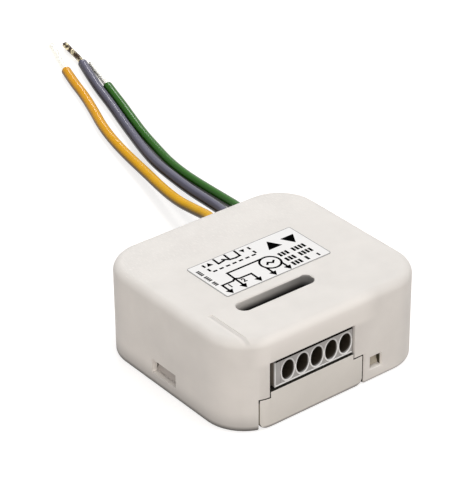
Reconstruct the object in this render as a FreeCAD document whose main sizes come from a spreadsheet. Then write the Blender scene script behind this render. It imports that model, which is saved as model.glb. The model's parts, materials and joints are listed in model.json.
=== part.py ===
"""Radio receiver module for a flush wall box, as a parametric assembly in millimetres.

+Z is up and the origin is the centre of the housing's underside. +X runs along the longer
side, the wire terminals face -Y and the three leads leave the rear wall towards +Y.
"""
import FreeCAD, Part
import math
import os
import Sketcher

# Housing
housing_length = 48.0  # housing along X
housing_width = 44.0  # housing along Y
housing_height = 20.0  # housing along Z
corner_radius = 9.0  # upright corners, outside
wall = 1.6  # side wall of the cover
roof = 1.6  # top of the cover
top_round = 1.9  # rounding of the top edge
foot_round = 0.7  # rounding of the bottom edge
seam = 0.25  # gap between cover and base
floor_thick = 1.6  # base plate
standoff = 2.4  # board posts
slot_length = 18.0  # release slot in the top, end to end
slot_width = 3.2  # release slot in the top
slot_round = 0.45  # rounding of the slot's edge
collar_wall = 0.9  # collar below the release slot
collar_gap = 0.1  # collar above the release buttons
side_rib = 5.7  # short ribs from the rear wall
rib_thick = 0.9  # ribs inside the cover
rib_inset = 4.3  # long rib from the left face
rib_clearance = 0.2  # ribs above the board
line_depth = 0.12  # sink line over the long rib
label_length = 25.6  # label along X
label_width = 12.7  # label along Y
label_thick = 0.1  # label foil
label_x = -0.4  # label centre, X
label_y = 0.4  # label centre, Y

# Latches
latch_sill = 2.6  # underside of the latch windows
window_height = 3.0  # latch windows
side_window = 7.4  # latch windows in the left and right wall
front_window = 3.1  # latch windows in the front and rear wall
side_latch_y = 0.2  # side latches from the middle
front_latch_gap = 3.5  # front latch from the flap
hook_thick = 1.1  # snap hook
hook_reach = 0.6  # nose of a snap hook into its window
hook_play = 0.3  # play beside a snap hook

# Circuit board
board_thick = 1.6  # circuit board
board_gap = 0.3  # board edge to wall
post_radius = 1.7  # board posts
peg_radius = 0.75  # pegs on the board posts
hole_play = 0.1  # pin or peg in its board hole
joint_height = 0.9  # solder joints

# Wire terminals
pole_pitch = 3.5  # terminal pitch
pole_gap = 0.02  # between terminal poles
end_thick = 1.5  # end plate of the terminal row
row_side = 7.8  # terminal row from the left wall
row_setback = 0.2  # terminal row behind the front wall
pole_depth = 15.6  # terminal pole along Y
pole_room = 1.6  # terminal poles below the cover's roof
pole_wall = 0.5  # walls of a terminal pole
pole_roof = 0.6  # roof and floor of a terminal pole
nose_recess = 0.45  # terminal faces behind the front face
nose_above = 2.95  # terminal faces above the wire axis
nose_below = 3.05  # terminal faces below the wire axis
wire_drop = 5.4  # wire axis below the top of a pole
funnel_width = 3.3  # mouth of a wire entry along X
funnel_height = 4.6  # mouth of a wire entry along Z
funnel_depth = 0.6  # slope of a wire entry
funnel_drop = 0.35  # middle of a wire entry below the wire axis
pocket_width = 2.9  # insulation pocket along X
pocket_height = 3.95  # insulation pocket along Z
pocket_depth = 2.2  # insulation pocket
bore_radius = 1.2  # conductor bore
bore_length = 3.2  # conductor bore
opening_gap_left = 1.4  # opening beside the end plate
opening_gap = 0.3  # opening beside the terminal faces
opening_gap_above = 0.15  # opening above the terminal faces
opening_gap_below = 0.3  # opening below the terminal faces
flap_left = 2.0  # front flap beyond the opening, left
flap_right = 2.0  # front flap beyond the opening, right
flap_neck = 1.3  # neck of the front flap
flap_lift = 0.3  # lower edge of the front flap
flap_round = 1.3  # lower corners of the front flap

# Clamp springs, contacts and release buttons
pivot_back = 2.2  # spring loop from the back of the pole
boss_radius = 0.8  # boss in the spring loop
loop_play = 0.1  # spring loop round its boss
strip_thick = 0.4  # spring strip
spring_width = 2.0  # spring along X
arm_reach = 7.2  # clamping leg from the loop's centre
knee_reach = 2.55  # knee of the spring from the loop's centre
band_height = 1.0  # band below the spring's window
spring_window = 1.4  # window of the spring along X
bar_width = 1.2  # current bar
bar_thick = 0.45  # current bar
bar_rise = 0.8  # underside of the current bar above the wire axis
bar_play = 0.2  # current bar above the clamping band
bar_front = 0.3  # current bar behind the bore
leg_gap = 0.5  # current bar's leg in front of the spring loop
button_back = 10.0  # release buttons behind the front of the poles
button_width = 2.0  # release button along X
button_length = 2.2  # release button along Y
button_rise = 0.5  # release button above the pole
button_play = 0.1  # release button in the pole's roof
flange_gap = 0.05  # flange of a release button below the roof
flange_thick = 0.35  # flange of a release button
flange_reach = 0.3  # flange beyond the stem
nose_width = 0.5  # rib under a release button
nose_drop = 0.3  # rib under a release button
push_gap = 0.25  # release button above the spring arm
groove_width = 0.6  # screwdriver groove in a button
groove_depth = 0.4  # screwdriver groove in a button

# Leads and their clamp
lead_diameter = 2.4  # insulated lead
strand_diameter = 1.3  # bare twisted end
lead_pitch = 3.4  # leads side by side
lead_side = 9.0  # middle lead from the right wall
lead_height = 9.5  # lead axis where it leaves
lead_play = 0.15  # lead in its hole
grip_play = 0.03  # lead in its clamp
comb_back = 5.0  # lead comb from the rear wall
comb_thick = 1.8  # lead comb and clamp bar along Y
comb_margin = 3.7  # lead comb beyond the outer leads
bar_height = 2.4  # clamp bar
clamp_gap = 0.2  # clamp bar above the comb
screw_radius = 0.5  # clamp screws
screw_head = 1.0  # heads of the clamp screws
screw_inset = 1.1  # clamp screws from the comb's ends
tail_gap = 4.2  # soldered ends of the leads from the comb
tail_bend = 3.0  # bend of a lead inside the housing
strip_length = 0.6  # bare conductor above the board
core_radius = 0.6  # conductor of a lead

# Parts on the board
relay_room = 1.0  # relays below the roof
relay_round = 0.5  # edges of a relay
relay_side = 4.9  # relays from the left wall
relay_front_gap = 2.0  # relays from the terminal row
relay_rear = 2.6  # relays from the rear wall
relay_film_gap = 0.9  # relays from the film capacitor
relay_gap = 0.8  # between the relays
film_length = 12.5  # film capacitor along Y
film_width = 5.0  # film capacitor along X
film_room = 1.8  # film capacitor below the roof
film_disc_gap = 2.0  # film capacitor from the varistor
film_comb_gap = 0.7  # film capacitor from the lead comb
can_radius = 4.0  # electrolytic capacitor
can_room = 1.3  # electrolytic capacitor below the roof
can_side = 6.4  # electrolytic capacitor from the right wall
can_tail_gap = 6.6  # electrolytic capacitor from the leads' soldered ends
can_groove = 0.4  # rolled groove of the can
can_bevel = 0.5  # shoulder of the can
disc_radius = 3.4  # surge varistor
disc_thick = 2.8  # surge varistor
disc_can_gap = 0.8  # surge varistor from the electrolytic capacitor
disc_tail_gap = 6.8  # surge varistor from the leads' soldered ends
disc_lift = 0.8  # surge varistor above the board
fuse_radius = 1.3  # fusible resistor
fuse_length = 5.5  # fusible resistor along Y
fuse_row_gap = 2.2  # fusible resistor from the terminal row
drum_radius = 2.6  # noise choke
drum_height = 7.5  # noise choke
drum_waist = 0.5  # winding below the choke's flanges
drum_flange = 0.9  # flanges of the noise choke
drum_side = 5.0  # noise choke from the right wall
drum_shield_gap = 0.6  # noise choke from the radio shield
pin_radius = 0.35  # pins of the parts
radio_row_gap = 2.0  # radio board from the terminal row
radio_room = 1.8  # radio board below the roof
radio_thick = 0.8  # radio board
radio_side = 2.4  # radio board from the right wall
radio_front = 7.0  # radio board from the front wall
shield_margin = 2.3  # radio shield from the ends of its board
shield_top = 1.1  # radio shield below the top of its board
shield_depth = 1.8  # radio shield
shield_lift = 2.4  # radio shield above the board
chip_gap = 0.7  # microcontroller from the fusible resistor
chip_width = 4.0  # microcontroller along Y
chip_height = 1.0  # microcontroller
chip_drum_gap = 0.2  # microcontroller from the noise choke
chip_shield_gap = 0.4  # microcontroller's legs from the radio shield
crystal_width = 3.6  # quartz crystal along Y
crystal_height = 3.0  # quartz crystal
crystal_front = 3.8  # quartz crystal from the front wall
bridge_length = 3.6  # rectifier along X
bridge_width = 4.2  # rectifier along Y
bridge_height = 2.4  # rectifier
bridge_gap = 0.7  # rectifier from the terminal row
bridge_back = 2.0  # rectifier from the back of the terminal row
aerial_radius = 0.45  # aerial wire
aerial_room = 3.2  # aerial wire below the roof
aerial_bend = 2.0  # bend of the aerial wire
aerial_side = 1.7  # aerial wire from the right wall
aerial_foot = 1.8  # foot of the aerial in front of the choke
aerial_end = 0.3  # end of the aerial behind the leads' soldered ends
small_length = 1.6  # small surface parts along X
small_width = 0.85  # small surface parts along Y
small_height = 0.7  # small surface parts
post_side = 3.0  # rear left post from the left wall
post_rear = 5.9  # rear left post from the rear wall
post_front_side = 4.2  # front left post from the left wall
post_front = 6.0  # front left post from the front wall
post_right = 4.0  # right posts from the right wall
post_tail_gap = 3.8  # rear right post from the leads' soldered ends
post_drum_gap = 5.0  # front right post from the choke

# Overlaps of the tools
cut_past = 2.0  # how far a cut runs past the surface it opens
lap = 0.4  # how far joined shapes run into each other

doc = FreeCAD.newDocument("radio_receiver_module")
sheet = doc.addObject("Spreadsheet::Sheet", "sizes")
aliases = []
nodes = []


class Size:
    """A length that carries its value and the expression that ties it to the sheet."""

    def __init__(self, value, text):
        self.value = value
        self.text = text

    def __add__(self, other):
        other = size(other)
        return Size(self.value + other.value, f"({self.text} + {other.text})")

    def __sub__(self, other):
        other = size(other)
        return Size(self.value - other.value, f"({self.text} - {other.text})")

    def __mul__(self, factor):
        factor = size(factor)
        return Size(self.value * factor.value, f"({self.text} * {factor.text})")

    def __truediv__(self, factor):
        factor = size(factor)
        return Size(self.value / factor.value, f"({self.text} / {factor.text})")

    def __radd__(self, other):
        return size(other) + self

    def __rsub__(self, other):
        return size(other) - self

    def __rmul__(self, other):
        return size(other) * self

    def __neg__(self):
        return size(0) - self


def size(number):
    """Turns a plain number into a Size, and leaves a Size as it is."""
    if isinstance(number, Size):
        return number
    return Size(float(number), f"({float(number)!r})")


def driving(alias, value):
    """Writes one driving size into the sheet and gives it back as a Size."""
    aliases.append(alias)
    row = len(aliases)
    sheet.set(f"A{row}", alias.replace("_", " "))
    sheet.set(f"B{row}", str(value))
    sheet.setAlias(f"B{row}", alias)
    return Size(value, f"sizes.{alias}")


def bind(thing, prop, amount):
    """Ties a property of an object to the sheet."""
    thing.setExpression(prop, size(amount).text)


# Every size above goes into the sheet, and its name stands for the tied Size from here on
plain_sizes = {name: number for name, number in globals().items() if isinstance(number, float)}
globals().update({name: driving(name, number) for name, number in plain_sizes.items()})

# Heights and places that follow from the sizes
pole_count = 5
half_length = housing_length / 2
half_width = housing_width / 2
inner_x = half_length - wall
inner_y = half_width - wall
inner_corner = corner_radius - wall
ceiling = housing_height - roof
board_under = floor_thick + standoff
board_top = board_under + board_thick
pole_top = ceiling - pole_room
wire_z = pole_top - wire_drop
row_width = pole_pitch * pole_count + end_thick
row_left = -inner_x + row_side
row_right = row_left + row_width
row_centre = (row_left + row_right) / 2
row_front = -inner_y + row_setback
row_back = row_front + pole_depth
nose_front = -half_width + nose_recess
bore_front = nose_front + funnel_depth + pocket_depth
chamber_front = bore_front + bore_length
opening_left = row_left - opening_gap_left
opening_right = row_right + opening_gap
nose_low = wire_z - nose_below
nose_high = wire_z + nose_above
funnel_z = wire_z - funnel_drop
opening_top = nose_high + opening_gap_above
opening_bottom = nose_low - opening_gap_below
flap_height = opening_bottom - flap_neck
flap_west = opening_left - flap_left
flap_east = opening_right + flap_right
front_latch_x = flap_east + front_latch_gap
hook_top = latch_sill + window_height - seam

button_y = row_front + button_back
button_top = pole_top + button_rise
collar_end = button_top + collar_gap
flange_top = pole_top - pole_roof - flange_gap
flange_low = flange_top - flange_thick
push_z = flange_low - nose_drop
arm_top = push_z - push_gap
pivot_y = row_back - pivot_back
pivot_z = wire_z
bar_under = wire_z + bar_rise

lead_radius = lead_diameter / 2
hole_radius = lead_radius + lead_play
lead_middle = inner_x - lead_side
comb_front = inner_y - comb_back
comb_west = lead_middle - lead_pitch - comb_margin
comb_east = lead_middle + lead_pitch + comb_margin
tail_start = comb_front - tail_gap

can_x = inner_x - can_side
can_y = tail_start - can_tail_gap
can_height = ceiling - can_room - board_top
disc_left = can_x - can_radius - disc_can_gap - disc_thick
disc_y = tail_start - disc_tail_gap
film_left = disc_left - film_disc_gap - film_width
film_front = comb_front - film_comb_gap - film_length
film_height = ceiling - film_room - board_top
relay_left = -inner_x + relay_side
relay_length = film_left - relay_film_gap - relay_left
relay_front = row_back + relay_front_gap
relay_width = (inner_y - relay_rear - relay_front - relay_gap) / 2
relay_height = ceiling - relay_room - board_top
radio_left = row_right + radio_row_gap
radio_length = inner_x - radio_side - radio_left
radio_height = ceiling - radio_room - board_top
radio_y = -inner_y + radio_front
shield_length = radio_length - 2 * shield_margin
shield_height = radio_height - shield_lift - shield_top
shield_back = radio_y + radio_thick + shield_depth
crystal_length = shield_length
crystal_x = radio_left + radio_length / 2
crystal_y = -inner_y + crystal_front
fuse_x = row_right + fuse_row_gap
fuse_front = shield_back + chip_shield_gap
drum_x = inner_x - drum_side
drum_y = shield_back + drum_shield_gap + drum_radius
chip_left = fuse_x + fuse_radius + chip_gap
chip_length = drum_x - drum_radius - chip_drum_gap - chip_left
chip_front = shield_back + chip_shield_gap + chip_height
bridge_left = row_left - bridge_gap - bridge_length
bridge_front = row_back - bridge_back - bridge_width
aerial_x = inner_x - aerial_side
aerial_top = ceiling - aerial_room
aerial_front = drum_y - aerial_foot
aerial_rear = tail_start + aerial_end


def pole_x(number):
    """Axis of a wire entry, counted from the left."""
    return row_left + end_thick + pole_pitch * (number - 0.5)


def lead_x(number):
    """Axis of a lead, counted from the left."""
    return lead_middle + lead_pitch * (number - 2)


# Sketches
TURNS = {
    "XY": FreeCAD.Rotation(),
    "XZ": FreeCAD.Rotation(FreeCAD.Vector(1, 0, 0), 90),
    "YZ": FreeCAD.Rotation(FreeCAD.Vector(1, 1, 1), 120),
}
NORMAL_AXIS = {"XY": "z", "XZ": "y", "YZ": "x"}
SIGN = {"XY": 1, "XZ": -1, "YZ": 1}


def body_sketch(body, name, plane, place):
    """A sketch on one of the body's own planes, moved along it to a coordinate."""
    drawing = body.newObject("Sketcher::SketchObject", name)
    role = f"{plane}_Plane"
    origin_plane = next(item for item in body.Origin.OriginFeatures if item.Role == role)
    drawing.AttachmentSupport = [(origin_plane, "")]
    drawing.MapMode = "FlatFace"
    bind(drawing, "AttachmentOffset.Base.z", size(place) * SIGN[plane])
    return drawing


def free_sketch(name, plane, place):
    """A sketch that belongs to no body, parallel to a plane at a coordinate."""
    drawing = doc.addObject("Sketcher::SketchObject", name)
    drawing.Placement = FreeCAD.Placement(FreeCAD.Vector(), TURNS[plane])
    bind(drawing, f"Placement.Base.{NORMAL_AXIS[plane]}", place)
    return drawing


def flat(across, up):
    """A point in a sketch, from two Sizes."""
    return FreeCAD.Vector(size(across).value, size(up).value, 0)


def hold(drawing, kind, items, amount):
    """A dimension in a sketch, tied to the sheet."""
    index = drawing.addConstraint(Sketcher.Constraint(kind, *items, size(amount).value))
    drawing.setExpression(f"Constraints[{index}]", size(amount).text)


def pin_point(drawing, curve, point, across, up):
    """Holds a point of a curve at its coordinates."""
    hold(drawing, "DistanceX", (curve, point), across)
    hold(drawing, "DistanceY", (curve, point), up)


def outline(drawing, points):
    """A closed outline of straight lines through points."""
    first = drawing.GeometryCount
    total = len(points)
    for index, point in enumerate(points):
        following = points[(index + 1) % total]
        drawing.addGeometry(Part.LineSegment(flat(*point), flat(*following)), False)
    for index in range(total):
        following = first + (index + 1) % total
        drawing.addConstraint(Sketcher.Constraint("Coincident", first + index, 2, following, 1))
    for index, point in enumerate(points):
        pin_point(drawing, first + index, 1, *point)


def rectangle(drawing, west, east, south, north):
    """A rectangle between four coordinates."""
    outline(drawing, [(west, south), (east, south), (east, north), (west, north)])


def ring_of_arcs(drawing, centres, radius, start, sweep):
    """Arcs of one radius round the centres, joined in turn by tangent lines."""
    first = drawing.GeometryCount
    total = len(centres)
    up = FreeCAD.Vector(0, 0, 1)
    arcs = []
    for index, centre in enumerate(centres):
        circle = Part.Circle(flat(*centre), up, size(radius).value)
        arcs.append(Part.ArcOfCircle(circle, start + sweep * index, start + sweep * (index + 1)))
        drawing.addGeometry(arcs[-1], False)
    for index in range(total):
        following = arcs[(index + 1) % total]
        drawing.addGeometry(Part.LineSegment(arcs[index].EndPoint, following.StartPoint), False)
    for index in range(total):
        line = first + total + index
        following = first + (index + 1) % total
        drawing.addConstraint(Sketcher.Constraint("Tangent", first + index, 2, line, 1))
        drawing.addConstraint(Sketcher.Constraint("Tangent", line, 2, following, 1))
    for index, centre in enumerate(centres):
        pin_point(drawing, first + index, 3, *centre)
        hold(drawing, "Radius", (first + index,), radius)


def rounded(drawing, west, east, south, north, radius):
    """A rectangle with round corners."""
    left = west + radius
    right = east - radius
    low = south + radius
    high = north - radius
    centres = [(right, high), (left, high), (left, low), (right, low)]
    ring_of_arcs(drawing, centres, radius, 0, math.pi / 2)


def stadium(drawing, across, up, length, width, lying):
    """A slot with round ends, lying along the first axis or standing along the second."""
    half = (length - width) / 2
    if lying:
        centres = [(across + half, up), (across - half, up)]
        ring_of_arcs(drawing, centres, width / 2, -math.pi / 2, math.pi)
    else:
        centres = [(size(across), up + half), (size(across), up - half)]
        ring_of_arcs(drawing, centres, width / 2, 0, math.pi)


def circle(drawing, across, up, radius):
    """A circle round a centre."""
    centre = flat(across, up)
    shape = Part.Circle(centre, FreeCAD.Vector(0, 0, 1), size(radius).value)
    index = drawing.addGeometry(shape, False)
    pin_point(drawing, index, 3, across, up)
    hold(drawing, "Radius", (index,), radius)


# Features of a body
def new_body(label):
    """A body that becomes one node."""
    body = doc.addObject("PartDesign::Body", label)
    body.Label = label
    nodes.append(body)
    return body


def pad(body, drawing, length, reverse=False):
    """Adds material along the sketch's normal, or against it."""
    feature = body.newObject("PartDesign::Pad", f"{drawing.Name}_pad")
    feature.Profile = drawing
    feature.Reversed = reverse
    bind(feature, "Length", length)
    return feature


def pocket(body, drawing, length, reverse=False):
    """Cuts against the sketch's normal, or along it."""
    feature = body.newObject("PartDesign::Pocket", f"{drawing.Name}_pocket")
    feature.Profile = drawing
    feature.Reversed = reverse
    bind(feature, "Length", length)
    return feature


def edges_where(feature, test):
    """Names of the edges whose middle passes a test of x, y and z."""
    names = []
    for number, edge in enumerate(feature.Shape.Edges, 1):
        middle = edge.valueAt((edge.FirstParameter + edge.LastParameter) / 2)
        if test(middle.x, middle.y, middle.z):
            names.append(f"Edge{number}")
    return names


def round_edges(body, feature, radius, test):
    """Rounds the edges that pass the test."""
    doc.recompute()
    rounding = body.newObject("PartDesign::Fillet", f"{feature.Name}_round")
    rounding.Base = (feature, edges_where(feature, test))
    bind(rounding, "Radius", radius)
    return rounding


# Plain solids
def block(name, west, east, south, north, low, high):
    """A box between two corners."""
    solid = doc.addObject("Part::Box", name)
    bind(solid, "Length", east - west)
    bind(solid, "Width", north - south)
    bind(solid, "Height", high - low)
    bind(solid, "Placement.Base.x", west)
    bind(solid, "Placement.Base.y", south)
    bind(solid, "Placement.Base.z", low)
    return solid


def rod(name, axis, across, along, low, radius, length):
    """A cylinder that starts at a point and runs along an axis."""
    turns = {"Z": FreeCAD.Rotation(), "X": FreeCAD.Rotation(FreeCAD.Vector(0, 1, 0), 90)}
    turns["Y"] = FreeCAD.Rotation(FreeCAD.Vector(1, 0, 0), -90)
    solid = doc.addObject("Part::Cylinder", name)
    solid.Placement = FreeCAD.Placement(FreeCAD.Vector(), turns[axis])
    bind(solid, "Radius", radius)
    bind(solid, "Height", length)
    bind(solid, "Placement.Base.x", across)
    bind(solid, "Placement.Base.y", along)
    bind(solid, "Placement.Base.z", low)
    return solid


def prism(name, plane, start, end, draw):
    """A sketch drawn by a function and extruded between two coordinates."""
    face_at = end if plane == "XZ" else start
    drawing = free_sketch(f"{name}_sketch", plane, face_at)
    draw(drawing)
    solid = doc.addObject("Part::Extrusion", name)
    solid.Base = drawing
    solid.DirMode = "Normal"
    solid.Solid = True
    bind(solid, "LengthFwd", size(end) - start)
    return solid


def fuse(name, solids):
    """One solid from several that touch or overlap."""
    result = doc.addObject("Part::MultiFuse", name)
    result.Shapes = solids
    result.Refine = True
    return result


def cut(name, base, tool):
    """The base less the tool."""
    result = doc.addObject("Part::Cut", name)
    result.Base = base
    result.Tool = tool
    result.Refine = True
    return result


def common(name, first, second):
    """What two solids share."""
    result = doc.addObject("Part::Common", name)
    result.Base = first
    result.Tool = second
    return result


def soften(name, base, radius, test):
    """A plain solid with the edges that pass the test rounded."""
    doc.recompute()
    result = doc.addObject("Part::Fillet", name)
    result.Base = base
    chosen = edges_where(base, test)
    amount = size(radius).value
    result.Edges = [(int(edge[4:]), amount, amount) for edge in chosen]
    return result


def group(name, solids):
    """Separate like solids that share one node."""
    result = doc.addObject("Part::Compound", name)
    result.Links = solids
    return result


def node(thing, label):
    """Names a finished sub-part."""
    thing.Label = label
    nodes.append(thing)
    return thing


def housing_profile(drawing, inset):
    """The housing's outline, moved inwards."""
    rounded(drawing, -half_length + inset, half_length - inset,
            -half_width + inset, half_width - inset, corner_radius - inset)


# Board holes and solder joints gather here as the parts are made
board_pins = []


def board_pin(name, across, along, radius, top):
    """A pin from a height down through the board, noted for its hole and joint."""
    board_pins.append((size(across), size(along), size(radius)))
    return rod(name, "Z", across, along, board_under, radius, top - board_under)


def make_cover():
    """The upper shell with its release slot, front opening, latch windows and ribs."""
    body = new_body("housing_cover")
    drawing = body_sketch(body, "cover_outside", "XY", 0)
    housing_profile(drawing, size(0))
    shell = pad(body, drawing, housing_height)
    top = housing_height.value
    rounding = round_edges(body, shell, top_round, lambda x, y, z: z > top - 0.01)
    round_edges(body, rounding, foot_round, lambda x, y, z: z < 0.01)

    drawing = body_sketch(body, "cover_inside", "XY", 0)
    housing_profile(drawing, wall)
    pocket(body, drawing, ceiling, reverse=True)

    drawing = body_sketch(body, "cover_collar", "XY", housing_height - roof / 2)
    stadium(drawing, row_centre, button_y, slot_length + 2 * collar_wall,
            slot_width + 2 * collar_wall, True)
    pad(body, drawing, housing_height - roof / 2 - collar_end, reverse=True)

    rib_x = -half_length + rib_inset
    drawing = body_sketch(body, "cover_long_rib", "XY", housing_height - roof / 2)
    rectangle(drawing, rib_x - rib_thick / 2, rib_x + rib_thick / 2,
              -inner_y - wall / 2 + inner_corner / 2, -inner_y + corner_radius + inner_corner / 2)
    pad(body, drawing, housing_height - roof / 2 - board_top - rib_clearance, reverse=True)

    for side, name in ((-1, "left"), (1, "right")):
        edge = side * (inner_x + wall / 2)
        tip = side * (inner_x - rib_thick)
        west, east = (edge, tip) if side < 0 else (tip, edge)
        drawing = body_sketch(body, f"cover_{name}_rib", "XY", housing_height - roof / 2)
        rectangle(drawing, west, east, inner_y - side_rib, inner_y - side_rib + rib_thick)
        pad(body, drawing, housing_height - roof / 2 - board_top - rib_clearance, reverse=True)

    drawing = body_sketch(body, "cover_slot", "XY", housing_height + cut_past)
    stadium(drawing, row_centre, button_y, slot_length, slot_width, True)
    slot = pocket(body, drawing, housing_height + cut_past * 2 - collar_end)
    reach = slot_length.value / 2 + 0.1
    middle_x = row_centre.value
    middle_y = button_y.value
    rim = slot_width.value / 2 + 0.1
    round_edges(body, slot, slot_round,
                lambda x, y, z: z > top - 0.01 and abs(x - middle_x) < reach
                and abs(y - middle_y) < rim)

    drawing = body_sketch(body, "cover_front_opening", "XZ", -half_width - cut_past)
    left = flap_west - seam
    right = flap_east + seam
    shoulder = flap_height + seam
    outline(drawing, [(left, -cut_past), (right, size(-cut_past)), (right, shoulder),
                      (opening_right, shoulder), (opening_right, opening_top),
                      (opening_left, opening_top), (opening_left, shoulder), (left, shoulder)])
    opening = pocket(body, drawing, cut_past + wall + corner_radius / 4)
    foot = flap_east.value + seam.value
    round_edges(body, opening, foot_round,
                lambda x, y, z: abs(x - foot) < 0.01 and z < foot_round.value / 2 + 0.6
                and abs(y + half_width.value - wall.value / 2) < wall.value / 2
                and abs(z - foot_round.value) > 0.5)

    drawing = body_sketch(body, "cover_side_windows", "YZ", -half_length - cut_past)
    rectangle(drawing, side_latch_y - side_window / 2, side_latch_y + side_window / 2,
              latch_sill, latch_sill + window_height)
    pocket(body, drawing, housing_length + 2 * cut_past, reverse=True)

    drawing = body_sketch(body, "cover_front_window", "XZ", -half_width - cut_past)
    rectangle(drawing, front_latch_x - front_window / 2, front_latch_x + front_window / 2,
              latch_sill, latch_sill + window_height)
    pocket(body, drawing, cut_past + wall + lap)

    drawing = body_sketch(body, "cover_rear_window", "XZ", half_width + cut_past)
    rectangle(drawing, -front_latch_x - front_window / 2, -front_latch_x + front_window / 2,
              latch_sill, latch_sill + window_height)
    pocket(body, drawing, cut_past + wall + lap, reverse=True)

    drawing = body_sketch(body, "cover_lead_slots", "XZ", half_width + cut_past)
    for number in (1, 2, 3):
        stadium(drawing, lead_x(number), lead_height / 2 - cut_past / 2,
                lead_height + cut_past + 2 * hole_radius, 2 * hole_radius, False)
    pocket(body, drawing, cut_past + wall + corner_radius / 4, reverse=True)

    drawing = body_sketch(body, "cover_sink_line", "XY", housing_height)
    rectangle(drawing, rib_x - rib_thick / 2, rib_x + rib_thick / 2,
              -half_width, -half_width + corner_radius * 1.45)
    pocket(body, drawing, line_depth)


def flap_outline(drawing):
    """The front flap with its shoulders, narrow neck and round lower corners."""
    neck_west = opening_left + seam
    neck_east = opening_right - seam
    turn = flap_round * 0.3
    outline(drawing, [(flap_west, flap_lift + flap_round), (flap_west + turn, flap_lift + turn),
                      (flap_west + flap_round, flap_lift), (flap_east - flap_round, flap_lift),
                      (flap_east - turn, flap_lift + turn), (flap_east, flap_lift + flap_round),
                      (flap_east, flap_height), (neck_east, flap_height),
                      (neck_east, opening_bottom), (neck_west, opening_bottom),
                      (neck_west, flap_height), (flap_west, flap_height)])


def hook_outline(drawing, face, outwards):
    """A snap hook in section, from its wall's inner face."""
    back = face - outwards * seam
    nose = face + outwards * hook_reach
    heel = back - outwards * hook_thick
    ledge = latch_sill + seam
    outline(drawing, [(back, floor_thick / 2), (back, ledge), (nose, ledge),
                      (nose, ledge + hook_reach / 2), (back, hook_top), (heel, hook_top),
                      (heel, floor_thick / 2)])


def make_base():
    """The base plate with its front flap, lead fingers, snap hooks, posts and lead comb."""
    fit = wall + seam
    plate = prism("base_floor", "XY", 0, floor_thick, lambda d: housing_profile(d, fit))
    tall = prism("base_cup_outside", "XY", 0, lead_height,
                 lambda d: housing_profile(d, size(0)))
    tall = soften("base_cup_foot", tall, foot_round, lambda x, y, z: z < 0.01)
    hollow = prism("base_cup_inside", "XY", floor_thick, lead_height + cut_past,
                   lambda d: housing_profile(d, wall))
    cup = cut("base_cup", tall, hollow)

    lip_depth = fit + corner_radius / 4
    lips = [prism("base_flap", "XZ", -half_width - cut_past, -half_width + lip_depth, flap_outline)]
    for number in (1, 2, 3):
        middle = lead_x(number)
        reach = lead_radius + lead_play - seam / 2
        lips.append(block(f"base_finger_{number}", middle - reach, middle + reach,
                          half_width - lip_depth, half_width + cut_past, flap_lift,
                          lead_height - lead_radius / 2))
    edge = common("base_lips", cup, fuse("base_lip_shapes", lips))
    pieces = [plate, edge]

    side = side_window / 2 - hook_play
    front = front_window / 2 - hook_play
    pieces.append(prism("base_hook_left", "XZ", side_latch_y - side, side_latch_y + side,
                        lambda d: hook_outline(d, -inner_x, -1)))
    pieces.append(prism("base_hook_right", "XZ", side_latch_y - side, side_latch_y + side,
                        lambda d: hook_outline(d, inner_x, 1)))
    pieces.append(prism("base_hook_front", "YZ", front_latch_x - front, front_latch_x + front,
                        lambda d: hook_outline(d, -inner_y, -1)))
    pieces.append(prism("base_hook_rear", "YZ", -front_latch_x - front, -front_latch_x + front,
                        lambda d: hook_outline(d, inner_y, 1)))

    for number, (across, along) in enumerate(post_places, 1):
        pieces.append(rod(f"base_post_{number}", "Z", across, along, floor_thick / 2,
                          post_radius, board_under - floor_thick / 2))
        pieces.append(rod(f"base_peg_{number}", "Z", across, along, board_under - lap,
                          peg_radius, board_thick + lap))

    pieces.append(block("base_comb", comb_west, comb_east, comb_front, comb_front + comb_thick,
                        floor_thick / 2, lead_height))
    grooves = []
    for number in (1, 2, 3):
        grooves.append(rod(f"base_groove_{number}", "Y", lead_x(number), half_width / 2,
                           lead_height, lead_radius + grip_play, half_width))
    for number, across in enumerate(screw_places, 1):
        grooves.append(rod(f"base_screw_hole_{number}", "Z", across,
                           comb_front + comb_thick / 2, floor_thick + cut_past, screw_radius,
                           lead_height))
    raw = fuse("base_raw", pieces)
    node(cut("base_plate", raw, fuse("base_grooves", grooves)), "base_plate")


def make_label():
    """The printed foil on the top."""
    def draw(drawing):
        rounded(drawing, label_x - label_length / 2, label_x + label_length / 2,
                label_y - label_width / 2, label_y + label_width / 2, label_thick * 5)

    node(prism("type_label", "XY", housing_height, housing_height + label_thick, draw),
         "type_label")


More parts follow.
